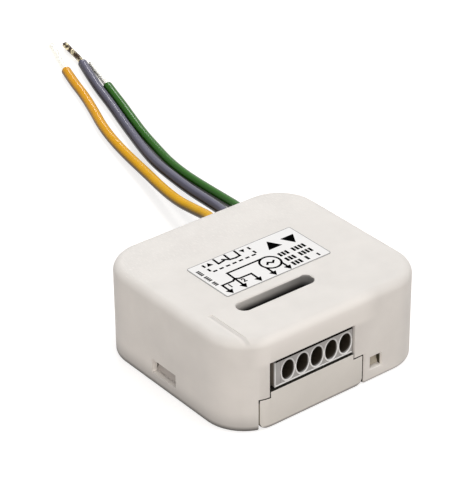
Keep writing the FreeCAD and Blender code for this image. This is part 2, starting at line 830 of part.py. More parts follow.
def make_pole(number):
    """One plastic pole of the terminal row, with its wire entry and spring chamber."""
    middle = pole_x(number)
    west = middle - pole_pitch / 2 + pole_gap / 2
    east = middle + pole_pitch / 2 - pole_gap / 2
    body = new_body(f"pole_housing_{number}")
    drawing = body_sketch(body, f"pole_{number}_side", "YZ", west)
    outline(drawing, [(row_back, board_top), (row_back, pole_top), (row_front, pole_top),
                      (row_front, nose_high), (nose_front, nose_high), (nose_front, nose_low),
                      (row_front, nose_low), (row_front, board_top)])
    pad(body, drawing, east - west)

    drawing = body_sketch(body, f"pole_{number}_chamber", "YZ", west - cut_past)
    rectangle(drawing, chamber_front, row_back - pole_wall, board_top + pole_roof,
              pole_top - pole_roof)
    pocket(body, drawing, east - west - pole_wall + cut_past, reverse=True)

    drawing = body_sketch(body, f"pole_{number}_boss", "YZ", east - pole_wall / 2)
    circle(drawing, pivot_y, pivot_z, boss_radius)
    pad(body, drawing, east - pole_wall / 2 - middle + spring_width / 2, reverse=True)

    drawing = body_sketch(body, f"pole_{number}_button_hole", "XY", pole_top + cut_past)
    rectangle(drawing, middle - button_width / 2 - button_play,
              middle + button_width / 2 + button_play,
              button_y - button_length / 2 - button_play,
              button_y + button_length / 2 + button_play)
    pocket(body, drawing, cut_past + pole_roof * 1.5)

    leg = pivot_y - loop_outer - leg_gap
    drawing = body_sketch(body, f"pole_{number}_pin_slot", "XY", board_top - cut_past)
    rectangle(drawing, middle - bar_width / 2 - hole_play, middle + bar_width / 2 + hole_play,
              leg - bar_thick - hole_play, leg + hole_play)
    pocket(body, drawing, cut_past + pole_roof * 1.5, reverse=True)

    mouth = body_sketch(body, f"pole_{number}_mouth", "XZ", nose_front)
    stadium(mouth, middle, funnel_z, funnel_height, funnel_width, False)
    throat = body_sketch(body, f"pole_{number}_throat", "XZ", nose_front + funnel_depth)
    stadium(throat, middle, funnel_z, pocket_height, pocket_width, False)
    funnel = body.newObject("PartDesign::SubtractiveLoft", f"pole_{number}_funnel")
    funnel.Profile = mouth
    funnel.Sections = [throat]

    drawing = body_sketch(body, f"pole_{number}_pocket", "XZ", nose_front)
    stadium(drawing, middle, funnel_z, pocket_height, pocket_width, False)
    pocket(body, drawing, funnel_depth + pocket_depth)

    drawing = body_sketch(body, f"pole_{number}_bore", "XZ", nose_front)
    circle(drawing, middle, wire_z, bore_radius)
    pocket(body, drawing, chamber_front - nose_front + lap)


def make_end_plate():
    """The plate that closes the open side of the first pole."""
    west = row_left
    east = row_left + end_thick - pole_gap / 2
    plate = block("end_plate_body", west, east, row_front, row_back, board_top, pole_top)
    face = block("end_plate_face", west, east, nose_front, row_front + lap, nose_low, nose_high)
    node(fuse("terminal_end_plate", [plate, face]), "terminal_end_plate")


def make_button(number):
    """A release button: stem, flange below the roof, rib underneath, groove on top."""
    middle = pole_x(number)
    half = button_width / 2
    body = new_body(f"release_button_{number}")
    drawing = body_sketch(body, f"button_{number}_side", "YZ", middle - half)
    front = button_y - button_length / 2
    back = button_y + button_length / 2
    outline(drawing, [(front, button_top), (front, flange_top), (front - flange_reach, flange_top),
                      (front - flange_reach, flange_low), (button_y - nose_width / 2, flange_low),
                      (button_y - nose_width / 2, push_z), (button_y + nose_width / 2, push_z),
                      (button_y + nose_width / 2, flange_low), (back + flange_reach, flange_low),
                      (back + flange_reach, flange_top), (back, flange_top), (back, button_top)])
    pad(body, drawing, button_width)
    drawing = body_sketch(body, f"button_{number}_groove", "YZ", middle - half - cut_past)
    rectangle(drawing, button_y - groove_width / 2, button_y + groove_width / 2,
              button_top - groove_depth, button_top + cut_past)
    pocket(body, drawing, button_width + 2 * cut_past, reverse=True)


def make_spring(number):
    """A cage clamp spring: loop round its boss, arm under the button, window leg."""
    middle = pole_x(number)
    half = spring_width / 2
    body = new_body(f"clamp_spring_{number}")
    drawing = body_sketch(body, f"spring_{number}_loop", "YZ", middle - half)
    circle(drawing, pivot_y, pivot_z, loop_outer)
    circle(drawing, pivot_y, pivot_z, loop_inner)
    pad(body, drawing, spring_width)

    drawing = body_sketch(body, f"spring_{number}_arm", "YZ", middle - half)
    knee = pivot_y - knee_reach
    leg = pivot_y - arm_reach
    arm_low = arm_top - strip_thick
    window_low = bar_under - bar_play
    outline(drawing, [(pivot_y - strip_thick / 2, pivot_z + loop_outer - strip_thick / 8),
                      (knee, arm_top), (leg, arm_top), (leg, window_low - band_height),
                      (leg + strip_thick, window_low - band_height), (leg + strip_thick, arm_low),
                      (knee - strip_thick / 2, arm_low),
                      (pivot_y - strip_thick * 1.2, pivot_z + loop_inner + strip_thick / 8)])
    arm = pad(body, drawing, spring_width)
    corner_y = leg.value
    corner_z = arm_top.value
    round_edges(body, arm, strip_thick * 0.8,
                lambda x, y, z: abs(y - corner_y) < 0.01 and abs(z - corner_z) < 0.01)

    drawing = body_sketch(body, f"spring_{number}_window", "XZ", leg - cut_past)
    rectangle(drawing, middle - spring_window / 2, middle + spring_window / 2, window_low, arm_low)
    pocket(body, drawing, cut_past + strip_thick * 2)


def make_contact(number):
    """A current bar that runs through the spring's window and down into the board."""
    middle = pole_x(number)
    leg = pivot_y - loop_outer - leg_gap
    body = new_body(f"current_bar_{number}")
    drawing = body_sketch(body, f"bar_{number}_side", "YZ", middle - bar_width / 2)
    outline(drawing, [(chamber_front + bar_front, bar_under), (leg - bar_thick, bar_under),
                      (leg - bar_thick, board_under), (leg, board_under),
                      (leg, bar_under + bar_thick),
                      (chamber_front + bar_front, bar_under + bar_thick)])
    pad(body, drawing, bar_width)
    board_pins.append((middle, leg - bar_thick / 2, bar_width / 2 + bar_thick / 8))


def make_relay(number, front):
    """A sealed power relay with five pins."""
    back = front + relay_width
    right = relay_left + relay_length
    case = block(f"relay_{number}_case", relay_left, right, front, back, board_top,
                 board_top + relay_height)
    low = board_top.value + 0.01
    case = soften(f"relay_{number}_soft", case, relay_round, lambda x, y, z: z > low)
    inset = relay_width / 6
    places = [(relay_left + inset, front + inset), (relay_left + inset, back - inset),
              (relay_left + relay_length * 0.45, front + relay_width / 2),
              (right - inset, front + inset), (right - inset, back - inset)]
    pins = [board_pin(f"relay_{number}_pin_{index}", across, along, pin_radius * 1.4,
                      board_top + lap)
            for index, (across, along) in enumerate(places, 1)]
    node(fuse(f"relay_{number}", [case] + pins), f"relay_{number}")


def make_film_capacitor():
    """The box-shaped film capacitor across the mains."""
    right = film_left + film_width
    back = film_front + film_length
    case = block("film_case", film_left, right, film_front, back, board_top,
                 board_top + film_height)
    case = soften("film_soft", case, relay_round, lambda x, y, z: z > board_top.value + 0.01)
    inset = film_width / 4
    pins = [board_pin(f"film_pin_{index}", film_left + film_width / 2, along, pin_radius,
                      board_top + lap)
            for index, along in enumerate((film_front + inset, back - inset), 1)]
    node(fuse("film_capacitor", [case] + pins), "film_capacitor")


def make_can_capacitor():
    """The upright electrolytic capacitor with its rolled groove."""
    groove_at = board_top + can_height / 6
    top = board_top + can_height
    body = new_body("smoothing_capacitor")
    drawing = body_sketch(body, "can_section", "XZ", can_y)
    outline(drawing, [(can_x, board_top), (can_x + can_radius, board_top),
                      (can_x + can_radius, groove_at - can_groove),
                      (can_x + can_radius - can_groove, groove_at),
                      (can_x + can_radius, groove_at + can_groove),
                      (can_x + can_radius, top - can_bevel),
                      (can_x + can_radius - can_bevel, top), (can_x, top)])
    spun = body.newObject("PartDesign::Revolution", "can_spun")
    spun.Profile = drawing
    axis = drawing.addGeometry(Part.LineSegment(flat(can_x, board_top), flat(can_x, top)), True)
    pin_point(drawing, axis, 1, can_x, board_top)
    pin_point(drawing, axis, 2, can_x, top)
    spun.ReferenceAxis = (drawing, ["Axis0"])
    spun.Angle = 360
    for index, side in enumerate((-1, 1), 1):
        place = can_x + side * can_radius / 2.4
        drawing = body_sketch(body, f"can_pin_{index}", "XY", board_under)
        circle(drawing, place, can_y, pin_radius)
        pad(body, drawing, board_thick + lap)
        board_pins.append((place, can_y, pin_radius))


def make_varistor():
    """The disc that takes mains surges, upright on two pins."""
    centre_z = board_top + disc_lift + disc_radius
    disc = rod("varistor_disc", "X", disc_left, disc_y, centre_z, disc_radius, disc_thick)
    disc = soften("varistor_soft", disc, disc_thick / 5,
                  lambda x, y, z: z != centre_z.value)
    across = disc_left + disc_thick / 2
    pins = [board_pin(f"varistor_pin_{index}", across, disc_y + side * disc_radius * 0.6,
                      pin_radius, centre_z - disc_radius / 2)
            for index, side in enumerate((-1, 1), 1)]
    node(fuse("surge_varistor", [disc] + pins), "surge_varistor")


def make_fuse_resistor():
    """The fusible resistor, lying on the board between its bent pins."""
    height = board_top + fuse_radius
    back = fuse_front + fuse_length
    core = rod("fuse_body", "Y", fuse_x, fuse_front, height, fuse_radius, fuse_length)
    core = soften("fuse_soft", core, fuse_radius / 3,
                  lambda x, y, z: z != height.value)
    wire = rod("fuse_wire", "Y", fuse_x, fuse_front - fuse_radius, height, pin_radius,
               fuse_length + 2 * fuse_radius)
    pins = [board_pin(f"fuse_pin_{index}", fuse_x, along, pin_radius, height + pin_radius)
            for index, along in enumerate((fuse_front - fuse_radius, back + fuse_radius), 1)]
    node(fuse("fuse_resistor", [core, wire] + pins), "fuse_resistor")


def make_choke():
    """The drum-shaped noise choke, its winding drawn as the waist."""
    flange = rod("choke_low", "Z", drum_x, drum_y, board_top, drum_radius, drum_flange)
    upper = rod("choke_high", "Z", drum_x, drum_y, board_top + drum_height - drum_flange,
                drum_radius, drum_flange)
    waist = rod("choke_waist", "Z", drum_x, drum_y, board_top, drum_radius - drum_waist,
                drum_height)
    pins = [board_pin(f"choke_pin_{index}", drum_x + side * drum_radius / 2, drum_y, pin_radius,
                      board_top + lap)
            for index, side in enumerate((-1, 1), 1)]
    node(fuse("noise_choke", [flange, upper, waist] + pins), "noise_choke")


def make_radio():
    """The upright radio board on its pin row, its shield can, and the quartz crystal."""
    right = radio_left + radio_length
    board = block("radio_card", radio_left, right, radio_y, radio_y + radio_thick,
                  board_top, board_top + radio_height)
    pins = [board_pin(f"radio_pin_{index}", radio_left + radio_length * (index - 0.5) / 5,
                      radio_y + radio_thick / 2, pin_radius, board_top + lap)
            for index in range(1, 6)]
    node(fuse("radio_board", [board] + pins), "radio_board")

    middle = radio_left + radio_length / 2
    low = board_top + shield_lift
    can = block("shield_case", middle - shield_length / 2, middle + shield_length / 2,
                radio_y + radio_thick, radio_y + radio_thick + shield_depth, low,
                low + shield_height)
    rear = (radio_y + radio_thick).value + 0.01
    node(soften("radio_shield", can, shield_depth / 5, lambda x, y, z: y > rear),
         "radio_shield")

    def draw(drawing):
        stadium(drawing, crystal_x, crystal_y, crystal_length, crystal_width, True)

    flange_high = board_top + crystal_height / 7
    flange = prism("crystal_flange", "XY", board_top, flange_high, draw)

    def draw_can(drawing):
        stadium(drawing, crystal_x, crystal_y, crystal_length - crystal_width / 6,
                crystal_width * 0.84, True)

    shell = prism("crystal_can", "XY", board_top, board_top + crystal_height, draw_can)
    pins = [board_pin(f"crystal_pin_{index}", crystal_x + side * crystal_length / 4, crystal_y,
                      pin_radius, board_top + lap / 2)
            for index, side in enumerate((-1, 1), 1)]
    node(fuse("quartz_crystal", [flange, shell] + pins), "quartz_crystal")


def make_chip():
    """The microcontroller with its rows of legs."""
    lift = chip_height / 6
    right = chip_left + chip_length
    back = chip_front + chip_width
    pieces = [block("chip_case", chip_left, right, chip_front, back, board_top + lift,
                    board_top + chip_height)]
    count = 8
    for index in range(count):
        across = chip_left + chip_length * (index + 0.5) / count
        foot = chip_length / count / 4
        pieces.append(block(f"chip_leg_{index + 1}", across - foot, across + foot,
                            chip_front - chip_height, back + chip_height, board_top,
                            board_top + lift * 2))
    node(fuse("microcontroller", pieces), "microcontroller")


def make_rectifier():
    """The small bridge rectifier with four legs."""
    lift = bridge_height / 10
    right = bridge_left + bridge_length
    back = bridge_front + bridge_width
    pieces = [block("bridge_case", bridge_left, right, bridge_front, back, board_top + lift,
                    board_top + bridge_height)]
    foot = bridge_length / 12
    for index in (1, 3):
        across = bridge_left + bridge_length * index / 4
        pieces.append(block(f"bridge_leg_{index}", across - foot, across + foot,
                            bridge_front - foot * 2, back + foot * 2, board_top,
                            board_top + lift * 2))
    node(fuse("bridge_rectifier", pieces), "bridge_rectifier")


def make_aerial():
    """The aerial wire, up from the board and along the right wall."""
    body = new_body("aerial_wire")
    path = body_sketch(body, "aerial_path", "YZ", aerial_x)
    turn = aerial_front + aerial_bend
    path.addGeometry(Part.LineSegment(flat(aerial_front, board_under),
                                      flat(aerial_front, aerial_top - aerial_bend)), False)
    centre = flat(turn, aerial_top - aerial_bend)
    circle_shape = Part.Circle(centre, FreeCAD.Vector(0, 0, 1), aerial_bend.value)
    path.addGeometry(Part.ArcOfCircle(circle_shape, math.pi / 2, math.pi), False)
    path.addGeometry(Part.LineSegment(flat(turn, aerial_top), flat(aerial_rear, aerial_top)), False)
    path.addConstraint(Sketcher.Constraint("Tangent", 0, 2, 1, 2))
    path.addConstraint(Sketcher.Constraint("Tangent", 1, 1, 2, 1))
    pin_point(path, 0, 1, aerial_front, board_under)
    pin_point(path, 1, 3, turn, aerial_top - aerial_bend)
    hold(path, "Radius", (1,), aerial_bend)
    hold(path, "DistanceX", (2, 2), aerial_rear)
    ring = body_sketch(body, "aerial_ring", "XY", board_under)
    circle(ring, aerial_x, aerial_front, aerial_radius)
    pipe = body.newObject("PartDesign::AdditivePipe", "aerial_pipe")
    pipe.Profile = ring
    pipe.Spine = path
    board_pins.append((aerial_x, aerial_front, aerial_radius))


def make_chip_parts():
    """The small surface parts, one group of like blocks."""
    beside_disc = disc_left - small_length - small_width / 4
    beside_relay = relay_left - small_length - small_width / 2
    behind_bridge = bridge_front + bridge_width + small_length
    places = [(beside_disc, disc_y - disc_radius), (beside_disc, disc_y - small_length),
              (beside_disc, disc_y + disc_radius), (beside_relay, disc_y),
              (beside_relay, disc_y + 2 * small_length), (bridge_left, behind_bridge),
              (bridge_left + 1.5 * small_length, behind_bridge)]
    solids = []
    for index, (across, along) in enumerate(places, 1):
        solids.append(block(f"chip_part_{index}", across, across + small_length, along,
                            along + small_width, board_top, board_top + small_height))
    node(group("chip_parts", solids), "chip_parts")


def tube(points, radius):
    """A tube along straight runs joined by tangent arcs, with its arc radii."""
    runs = [b - a for a, b in zip(points, points[1:])]
    edges = []
    radii = []
    start = points[0]
    for index in range(1, len(points) - 1):
        before, after = runs[index - 1], runs[index]
        half_turn = before.getAngle(after) / 2
        shorter = min(before.Length, after.Length)
        set_back = 0.45 * shorter
        radii.append(set_back / math.tan(half_turn))
        towards = FreeCAD.Vector(before).normalize()
        away = FreeCAD.Vector(after).normalize()
        entry = points[index] - towards * set_back
        leave = points[index] + away * set_back
        inwards = (away - towards).normalize()
        depth = radii[-1] / math.cos(half_turn) - radii[-1]
        middle = points[index] + inwards * depth
        edges.append(Part.LineSegment(start, entry).toShape())
        edges.append(Part.Arc(entry, middle, leave).toShape())
        start = leave
    edges.append(Part.LineSegment(start, points[-1]).toShape())
    path = Part.Wire(edges)
    section = Part.Wire(Part.Circle(points[0], runs[0], radius).toShape())
    solid = path.makePipeShell([section], True, True)
    return solid, radii, path.Length


def cord_node(label, points, radius):
    """A free lead or bare end along its route."""
    solid, radii, length = tube([FreeCAD.Vector(*point) for point in points], radius)
    feature = doc.addObject("Part::Feature", label)
    feature.Shape = solid
    feature.Placement = FreeCAD.Placement()
    node(feature, label)
    expected = math.pi * radius ** 2 * length
    tightest = f"{min(radii):.1f}" if radii else "none"
    print(f"{label}: length {length:.1f}, tightest arc {tightest}, "
          f"volume {solid.Volume:.1f} of {expected:.1f}")


# Routes of the free leads from the rear wall to the stripped ends, and of the bare ends
LEAD_ROUTES = {
    "yellow": [(10.0, 22.0, 9.5), (10.0, 26.0, 9.5), (11.6, 31.6, 9.15), (14.2, 38.0, 8.5),
               (15.6, 45.0, 7.5), (16.9, 53.0, 6.2), (19.2, 61.0, 4.8), (21.8, 69.0, 3.5),
               (24.3, 77.0, 2.4), (26.6, 85.5, 1.55), (29.0, 94.0, 1.24), (32.0, 102.5, 1.22),
               (35.1, 110.8, 1.22), (37.75, 118.4, 1.22), (39.9, 125.4, 1.22)],
    "slate": [(13.4, 22.0, 9.5), (13.4, 26.0, 9.5), (15.0, 31.6, 9.2), (17.7, 38.0, 8.6),
              (19.8, 45.0, 7.75), (21.4, 53.0, 6.6), (23.4, 61.0, 5.35), (25.7, 69.5, 4.0),
              (28.3, 78.0, 2.8), (31.3, 86.5, 1.85), (34.5, 95.0, 1.32), (37.9, 104.0, 1.22),
              (40.9, 112.4, 1.22), (43.5, 120.2, 1.22), (45.5, 126.6, 1.22)],
    "green": [(16.8, 22.0, 9.5), (16.8, 26.0, 9.5), (18.4, 31.6, 9.15), (21.3, 38.0, 8.5),
              (23.4, 45.0, 7.55), (24.9, 53.0, 6.3), (26.8, 61.0, 4.95), (29.0, 69.0, 3.7),
              (31.7, 77.0, 2.5), (34.6, 86.0, 1.6), (37.4, 94.5, 1.24), (40.2, 102.2, 1.22),
              (42.1, 107.9, 1.22), (43.65, 112.8, 1.22)],
}
END_ROUTES = {
    "yellow": [(39.9, 125.4, 1.22), (41.327, 130.046, 1.22), (44.9, 139.6, 1.08)],
    "slate": [(45.5, 126.6, 1.22), (46.842, 130.895, 1.22), (48.5, 137.9, 1.05)],
    "green": [(43.65, 112.8, 1.22), (44.929, 116.843, 1.22), (46.9, 124.9, 1.05)],
}


def make_leads():
    """Each lead in three nodes: tail inside the housing, free stretch, bare twisted end."""
    for number, (colour, route) in enumerate(LEAD_ROUTES.items(), 1):
        across = lead_x(number)
        drop = board_top + strip_length
        body = new_body(f"lead_tail_{colour}")
        path = body_sketch(body, f"tail_{colour}_path", "YZ", across)
        turn = tail_start + tail_bend
        bend_low = lead_height - tail_bend
        path.addGeometry(Part.LineSegment(flat(tail_start, drop), flat(tail_start, bend_low)),
                         False)
        curve = Part.Circle(flat(turn, bend_low), FreeCAD.Vector(0, 0, 1), tail_bend.value)
        path.addGeometry(Part.ArcOfCircle(curve, math.pi / 2, math.pi), False)
        path.addGeometry(Part.LineSegment(flat(turn, lead_height), flat(half_width, lead_height)),
                         False)
        path.addConstraint(Sketcher.Constraint("Tangent", 0, 2, 1, 2))
        path.addConstraint(Sketcher.Constraint("Tangent", 1, 1, 2, 1))
        pin_point(path, 0, 1, tail_start, drop)
        pin_point(path, 1, 3, turn, bend_low)
        hold(path, "Radius", (1,), tail_bend)
        hold(path, "DistanceX", (2, 2), half_width)
        ring = body_sketch(body, f"tail_{colour}_ring", "XY", drop)
        circle(ring, across, tail_start, lead_radius)
        pipe = body.newObject("PartDesign::AdditivePipe", f"tail_{colour}_pipe")
        pipe.Profile = ring
        pipe.Spine = path
        core = body_sketch(body, f"tail_{colour}_core", "XY", board_under)
        circle(core, across, tail_start, core_radius)
        pad(body, core, board_thick + strip_length + lap)
        board_pins.append((across, tail_start, core_radius))

        cord_node(f"lead_{colour}", route, lead_radius.value)
        cord_node(f"bare_end_{colour}", END_ROUTES[colour], strand_diameter.value / 2)


def make_lead_clamp():
    """The bar that presses the leads into the comb, and its two screws."""
    low = lead_height + clamp_gap
    bar = block("clamp_bar_raw", comb_west, comb_east, comb_front, comb_front + comb_thick,
                low, low + bar_height)
    along = comb_front + comb_thick / 2
    tools = [rod(f"clamp_groove_{number}", "Y", lead_x(number), half_width / 2, lead_height,
                 lead_radius + grip_play, half_width) for number in (1, 2, 3)]
    tools += [rod(f"clamp_hole_{number}", "Z", across, along, low - lap,
                  screw_radius + hole_play, bar_height + 2 * lap)
              for number, across in enumerate(screw_places, 1)]
    node(cut("lead_clamp", bar, fuse("clamp_tools", tools)), "lead_clamp")

    screws = []
    head_low = low + bar_height
    tip = floor_thick + cut_past + lap
    for number, across in enumerate(screw_places, 1):
        shank = rod(f"screw_shank_{number}", "Z", across, along, tip, screw_radius,
                    head_low + lap - tip)
        head = rod(f"screw_head_{number}", "Z", across, along, head_low, screw_head,
                   screw_head * 0.8)
        high = (head_low + screw_head * 0.8).value - 0.01
        head = soften(f"screw_head_soft_{number}", head, screw_head / 4,
                      lambda x, y, z: z > high)
        drive = block(f"screw_drive_{number}", across - screw_head * 0.8,
                      across + screw_head * 0.8, along - screw_head / 6, along + screw_head / 6,
                      head_low + screw_head * 0.45, head_low + screw_head)
        screws.append(cut(f"screw_{number}", fuse(f"screw_solid_{number}", [shank, head]), drive))
    node(group("clamp_screws", screws), "clamp_screws")


def make_board():
    """The circuit board with hook notches, comb cut-out and holes, and its solder joints."""
    body = new_body("circuit_board")
    drawing = body_sketch(body, "board_outline", "XY", board_under)
    housing_profile(drawing, wall + board_gap)
    pad(body, drawing, board_thick)

    side = side_window / 2
    depth = seam + hook_thick + board_gap
    drawing = body_sketch(body, "board_notches", "XY", board_top + cut_past)
    rectangle(drawing, -half_length, -inner_x + depth, side_latch_y - side, side_latch_y + side)
    rectangle(drawing, inner_x - depth, half_length, side_latch_y - side, side_latch_y + side)
    front = front_window / 2
    rectangle(drawing, front_latch_x - front, front_latch_x + front, -half_width,
              -inner_y + depth)
    rectangle(drawing, -front_latch_x - front, -front_latch_x + front, inner_y - depth,
              half_width)
    rectangle(drawing, comb_west - board_gap, comb_east + board_gap, comb_front - board_gap,
              half_width)
    pocket(body, drawing, board_thick + 2 * cut_past)

    drawing = body_sketch(body, "board_holes", "XY", board_top + cut_past)
    for across, along, radius in board_pins:
        circle(drawing, across, along, radius + hole_play)
    for across, along in post_places:
        circle(drawing, across, along, peg_radius + hole_play)
    pocket(body, drawing, board_thick + 2 * cut_past)

    joints = []
    for index, (across, along, radius) in enumerate(board_pins, 1):
        cone = doc.addObject("Part::Cone", f"solder_{index}")
        bind(cone, "Radius1", radius * 0.8)
        bind(cone, "Radius2", radius + 3 * hole_play)
        bind(cone, "Height", joint_height)
        bind(cone, "Placement.Base.x", across)
        bind(cone, "Placement.Base.y", along)
        bind(cone, "Placement.Base.z", board_under - joint_height)
        joints.append(cone)
    node(group("solder_joints", joints), "solder_joints")


loop_inner = boss_radius + loop_play
loop_outer = loop_inner + strip_thick
post_places = [(-inner_x + post_side, inner_y - post_rear),
               (-inner_x + post_front_side, -inner_y + post_front),
               (inner_x - post_right, tail_start - post_tail_gap),
               (inner_x - post_right, drum_y + post_drum_gap)]
screw_places = [comb_west + screw_inset, comb_east - screw_inset]

make_cover()
make_base()
make_label()
for pole in range(1, pole_count + 1):
    make_pole(pole)
    make_button(pole)
    make_spring(pole)
    make_contact(pole)
make_end_plate()
make_relay(1, relay_front)
make_relay(2, relay_front + relay_width + relay_gap)
make_film_capacitor()
make_can_capacitor()
make_varistor()
make_fuse_resistor()
make_choke()
make_radio()
make_chip()
make_rectifier()
make_aerial()
make_chip_parts()
make_leads()
make_lead_clamp()
make_board()
doc.recompute()

cutting = ("PartDesign::Pocket", "PartDesign::SubtractiveLoft")
for thing in doc.Objects:
    if "Invalid" in thing.State or "Error" in thing.State:
        raise RuntimeError(f"{thing.Name} failed: {thing.State}")
    if thing.TypeId in cutting:
        if thing.Shape.Volume > thing.BaseFeature.Shape.Volume - 1e-4:
            raise RuntimeError(f"{thing.Name} cuts nothing")

os.makedirs("parts", exist_ok=True)
for thing in nodes:
    if thing.Shape.isNull() or not thing.Shape.isValid():
        raise RuntimeError(f"{thing.Label} has no valid shape")
    thing.Shape.exportStep(f"parts/{thing.Label}.step")
print(f"{len(nodes)} nodes")
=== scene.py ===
"""Looks of the radio receiver module: housing, wire terminals, label, leads and electronics."""
import json
import math

import bpy
from bpy.props import FloatProperty, FloatVectorProperty, IntProperty, PointerProperty
from mathutils import Matrix, Vector

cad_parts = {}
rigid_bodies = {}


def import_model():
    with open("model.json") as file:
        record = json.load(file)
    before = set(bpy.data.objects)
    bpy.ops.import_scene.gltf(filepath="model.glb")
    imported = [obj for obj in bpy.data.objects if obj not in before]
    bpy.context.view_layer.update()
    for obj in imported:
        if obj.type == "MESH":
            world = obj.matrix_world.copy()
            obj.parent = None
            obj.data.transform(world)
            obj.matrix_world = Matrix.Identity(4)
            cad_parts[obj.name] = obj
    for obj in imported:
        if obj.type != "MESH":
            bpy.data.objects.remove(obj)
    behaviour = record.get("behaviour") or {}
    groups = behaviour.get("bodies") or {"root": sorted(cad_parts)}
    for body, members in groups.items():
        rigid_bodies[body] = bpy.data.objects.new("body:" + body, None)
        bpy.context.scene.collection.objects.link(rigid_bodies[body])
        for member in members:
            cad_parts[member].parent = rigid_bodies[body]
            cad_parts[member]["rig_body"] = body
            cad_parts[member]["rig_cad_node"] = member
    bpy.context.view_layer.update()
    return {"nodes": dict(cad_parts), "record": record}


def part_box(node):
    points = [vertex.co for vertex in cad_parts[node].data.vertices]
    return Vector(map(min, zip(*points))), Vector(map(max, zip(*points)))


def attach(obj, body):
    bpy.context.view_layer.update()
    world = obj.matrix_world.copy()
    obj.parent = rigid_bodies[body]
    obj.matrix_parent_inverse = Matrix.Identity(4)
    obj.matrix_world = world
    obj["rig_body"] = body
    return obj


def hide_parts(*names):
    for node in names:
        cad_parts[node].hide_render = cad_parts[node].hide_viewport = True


bl_info = {
    "name": "Radio receiver module",
    "version": (1, 0, 0),
    "blender": (4, 5, 0),
    "location": "View3D > Sidebar > Receiver",
    "description": "Builds the looks of a flush-mounted radio receiver module",
    "category": "Add Mesh",
}

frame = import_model()
MM = 0.001
BODY = "module"
POLES = (1, 2, 3, 4, 5)
WIRES = ("yellow", "slate", "green")


def metres(points):
    """Millimetre points as vectors in metres."""
    return [Vector(point) * MM for point in points]


# Routes of the free leads from the rear wall to the stripped ends, and of the bare ends
LEAD_ROUTES = {
    "yellow": [(10.0, 22.0, 9.5), (10.0, 25.1, 9.5), (12.4, 30.0, 9.35), (15.1, 35.85, 8.45),
               (16.4, 42.55, 6.65), (17.7, 50.45, 4.9), (19.75, 59.0, 3.65), (22.15, 68.0, 2.75),
               (24.3, 77.25, 2.05), (26.55, 86.3, 1.55), (29.15, 94.85, 1.3),
               (32.25, 102.75, 1.26), (35.1, 110.55, 1.26), (37.35, 118.3, 1.24),
               (39.6, 124.85, 1.22)],
    "slate": [(13.4, 22.0, 9.5), (13.4, 24.7, 9.5), (15.7, 29.3, 9.4), (18.45, 35.3, 8.7),
              (20.15, 42.8, 7.25), (21.8, 51.45, 5.75), (23.85, 60.65, 4.45), (26.0, 69.8, 3.25),
              (28.8, 78.25, 2.3), (31.8, 86.55, 1.65), (34.65, 94.9, 1.32), (37.5, 103.3, 1.3),
              (40.05, 111.85, 1.3), (42.7, 119.3, 1.28), (45.1, 125.7, 1.22)],
    "green": [(16.8, 22.0, 9.5), (16.8, 24.7, 9.5), (19.15, 29.35, 9.3), (22.2, 34.85, 8.4),
              (23.9, 42.05, 6.8), (25.55, 50.8, 5.2), (27.2, 60.05, 3.75), (29.25, 69.0, 2.6),
              (31.85, 77.6, 1.85), (34.4, 86.25, 1.38), (37.1, 94.35, 1.22), (39.5, 101.6, 1.22),
              (41.3, 107.55, 1.22), (42.6, 111.6, 1.22)],
}
END_ROUTES = {
    "yellow": [(39.6, 124.85, 1.22), (41.2, 129.6, 1.2), (43.3, 134.6, 1.12), (45.1, 139.3, 1.05)],
    "slate": [(45.1, 125.7, 1.22), (46.3, 129.6, 1.24), (47.05, 134.0, 1.2), (48.0, 137.5, 1.1)],
    "green": [(42.6, 111.6, 1.22), (43.95, 115.9, 1.22), (45.2, 120.1, 1.15),
              (46.55, 124.4, 1.05)],
}
# Painted shade: how much darker the yellow grows towards the far end, and how pale each sleeve is
# on its shaded underside below its painted highlight on top
YELLOW_FAR_SHADE = (0.92, 0.79, 0.92)
PAINTED_SIDE_SHADE = {"yellow": 1.0, "slate": 0.6, "green": 0.78}
# How far the twisted wires press into each other, the share of a bare end after which they
# spread, and how far every third of them does
WIRE_PRESS = 1.12
SPREAD_FROM = 0.75
SPLAYS = (0.12, 0.22, 0.32)


# Settings
def length(name, default, description):
    """A length in metres, for the sidebar."""
    return FloatProperty(name=name, default=default, description=description, unit="LENGTH",
                         precision=5)


def colour(name, default, description):
    """A linear colour, for the sidebar."""
    return FloatVectorProperty(name=name, default=default, description=description,
                               subtype="COLOR", size=3, min=0.0, max=1.0)


class HousingLook(bpy.types.PropertyGroup):
    """Sizes and colours of the housing."""
    cover_colour: colour("Cover", (0.83, 0.80, 0.765), "Colour of the upper shell")
    base_colour: colour("Base", (0.765, 0.735, 0.69), "Colour of the base plate and its flap")
    edge: length("Edge", 0.00012, "Soft edge left by the mould")
    grain: length("Grain", 0.00022, "Size of the moulded surface grain")
    # Painted shade: a dark colour on the faces in the gaps between the shells, where shade falls
    gap_colour: colour("Gaps", (0.022, 0.020, 0.016), "Colour of the gaps between the shells")
    # Painted light: a paler colour in the gap left of the flap, where light falls in
    open_gap_colour: colour("Open gap", (0.42, 0.39, 0.33), "Colour of the gap left of the flap")
    # Painted shade: the hooks are the base's pale plastic, coloured darker because they lie in
    # shade behind the windows
    latch_colour: colour("Latches", (0.50, 0.455, 0.37), "Colour of the front and rear hooks")
    side_latch_colour: colour("Side latches", (0.46, 0.425, 0.40), "Colour of the side hooks")
    # Painted shade deep in the window jambs beside the hooks
    jamb_colour: colour("Jambs", (0.06, 0.0492, 0.027), "Colour deep beside the hooks")
    slot_depth: length("Slot", 0.0026, "Depth at which the release slot falls into shade")


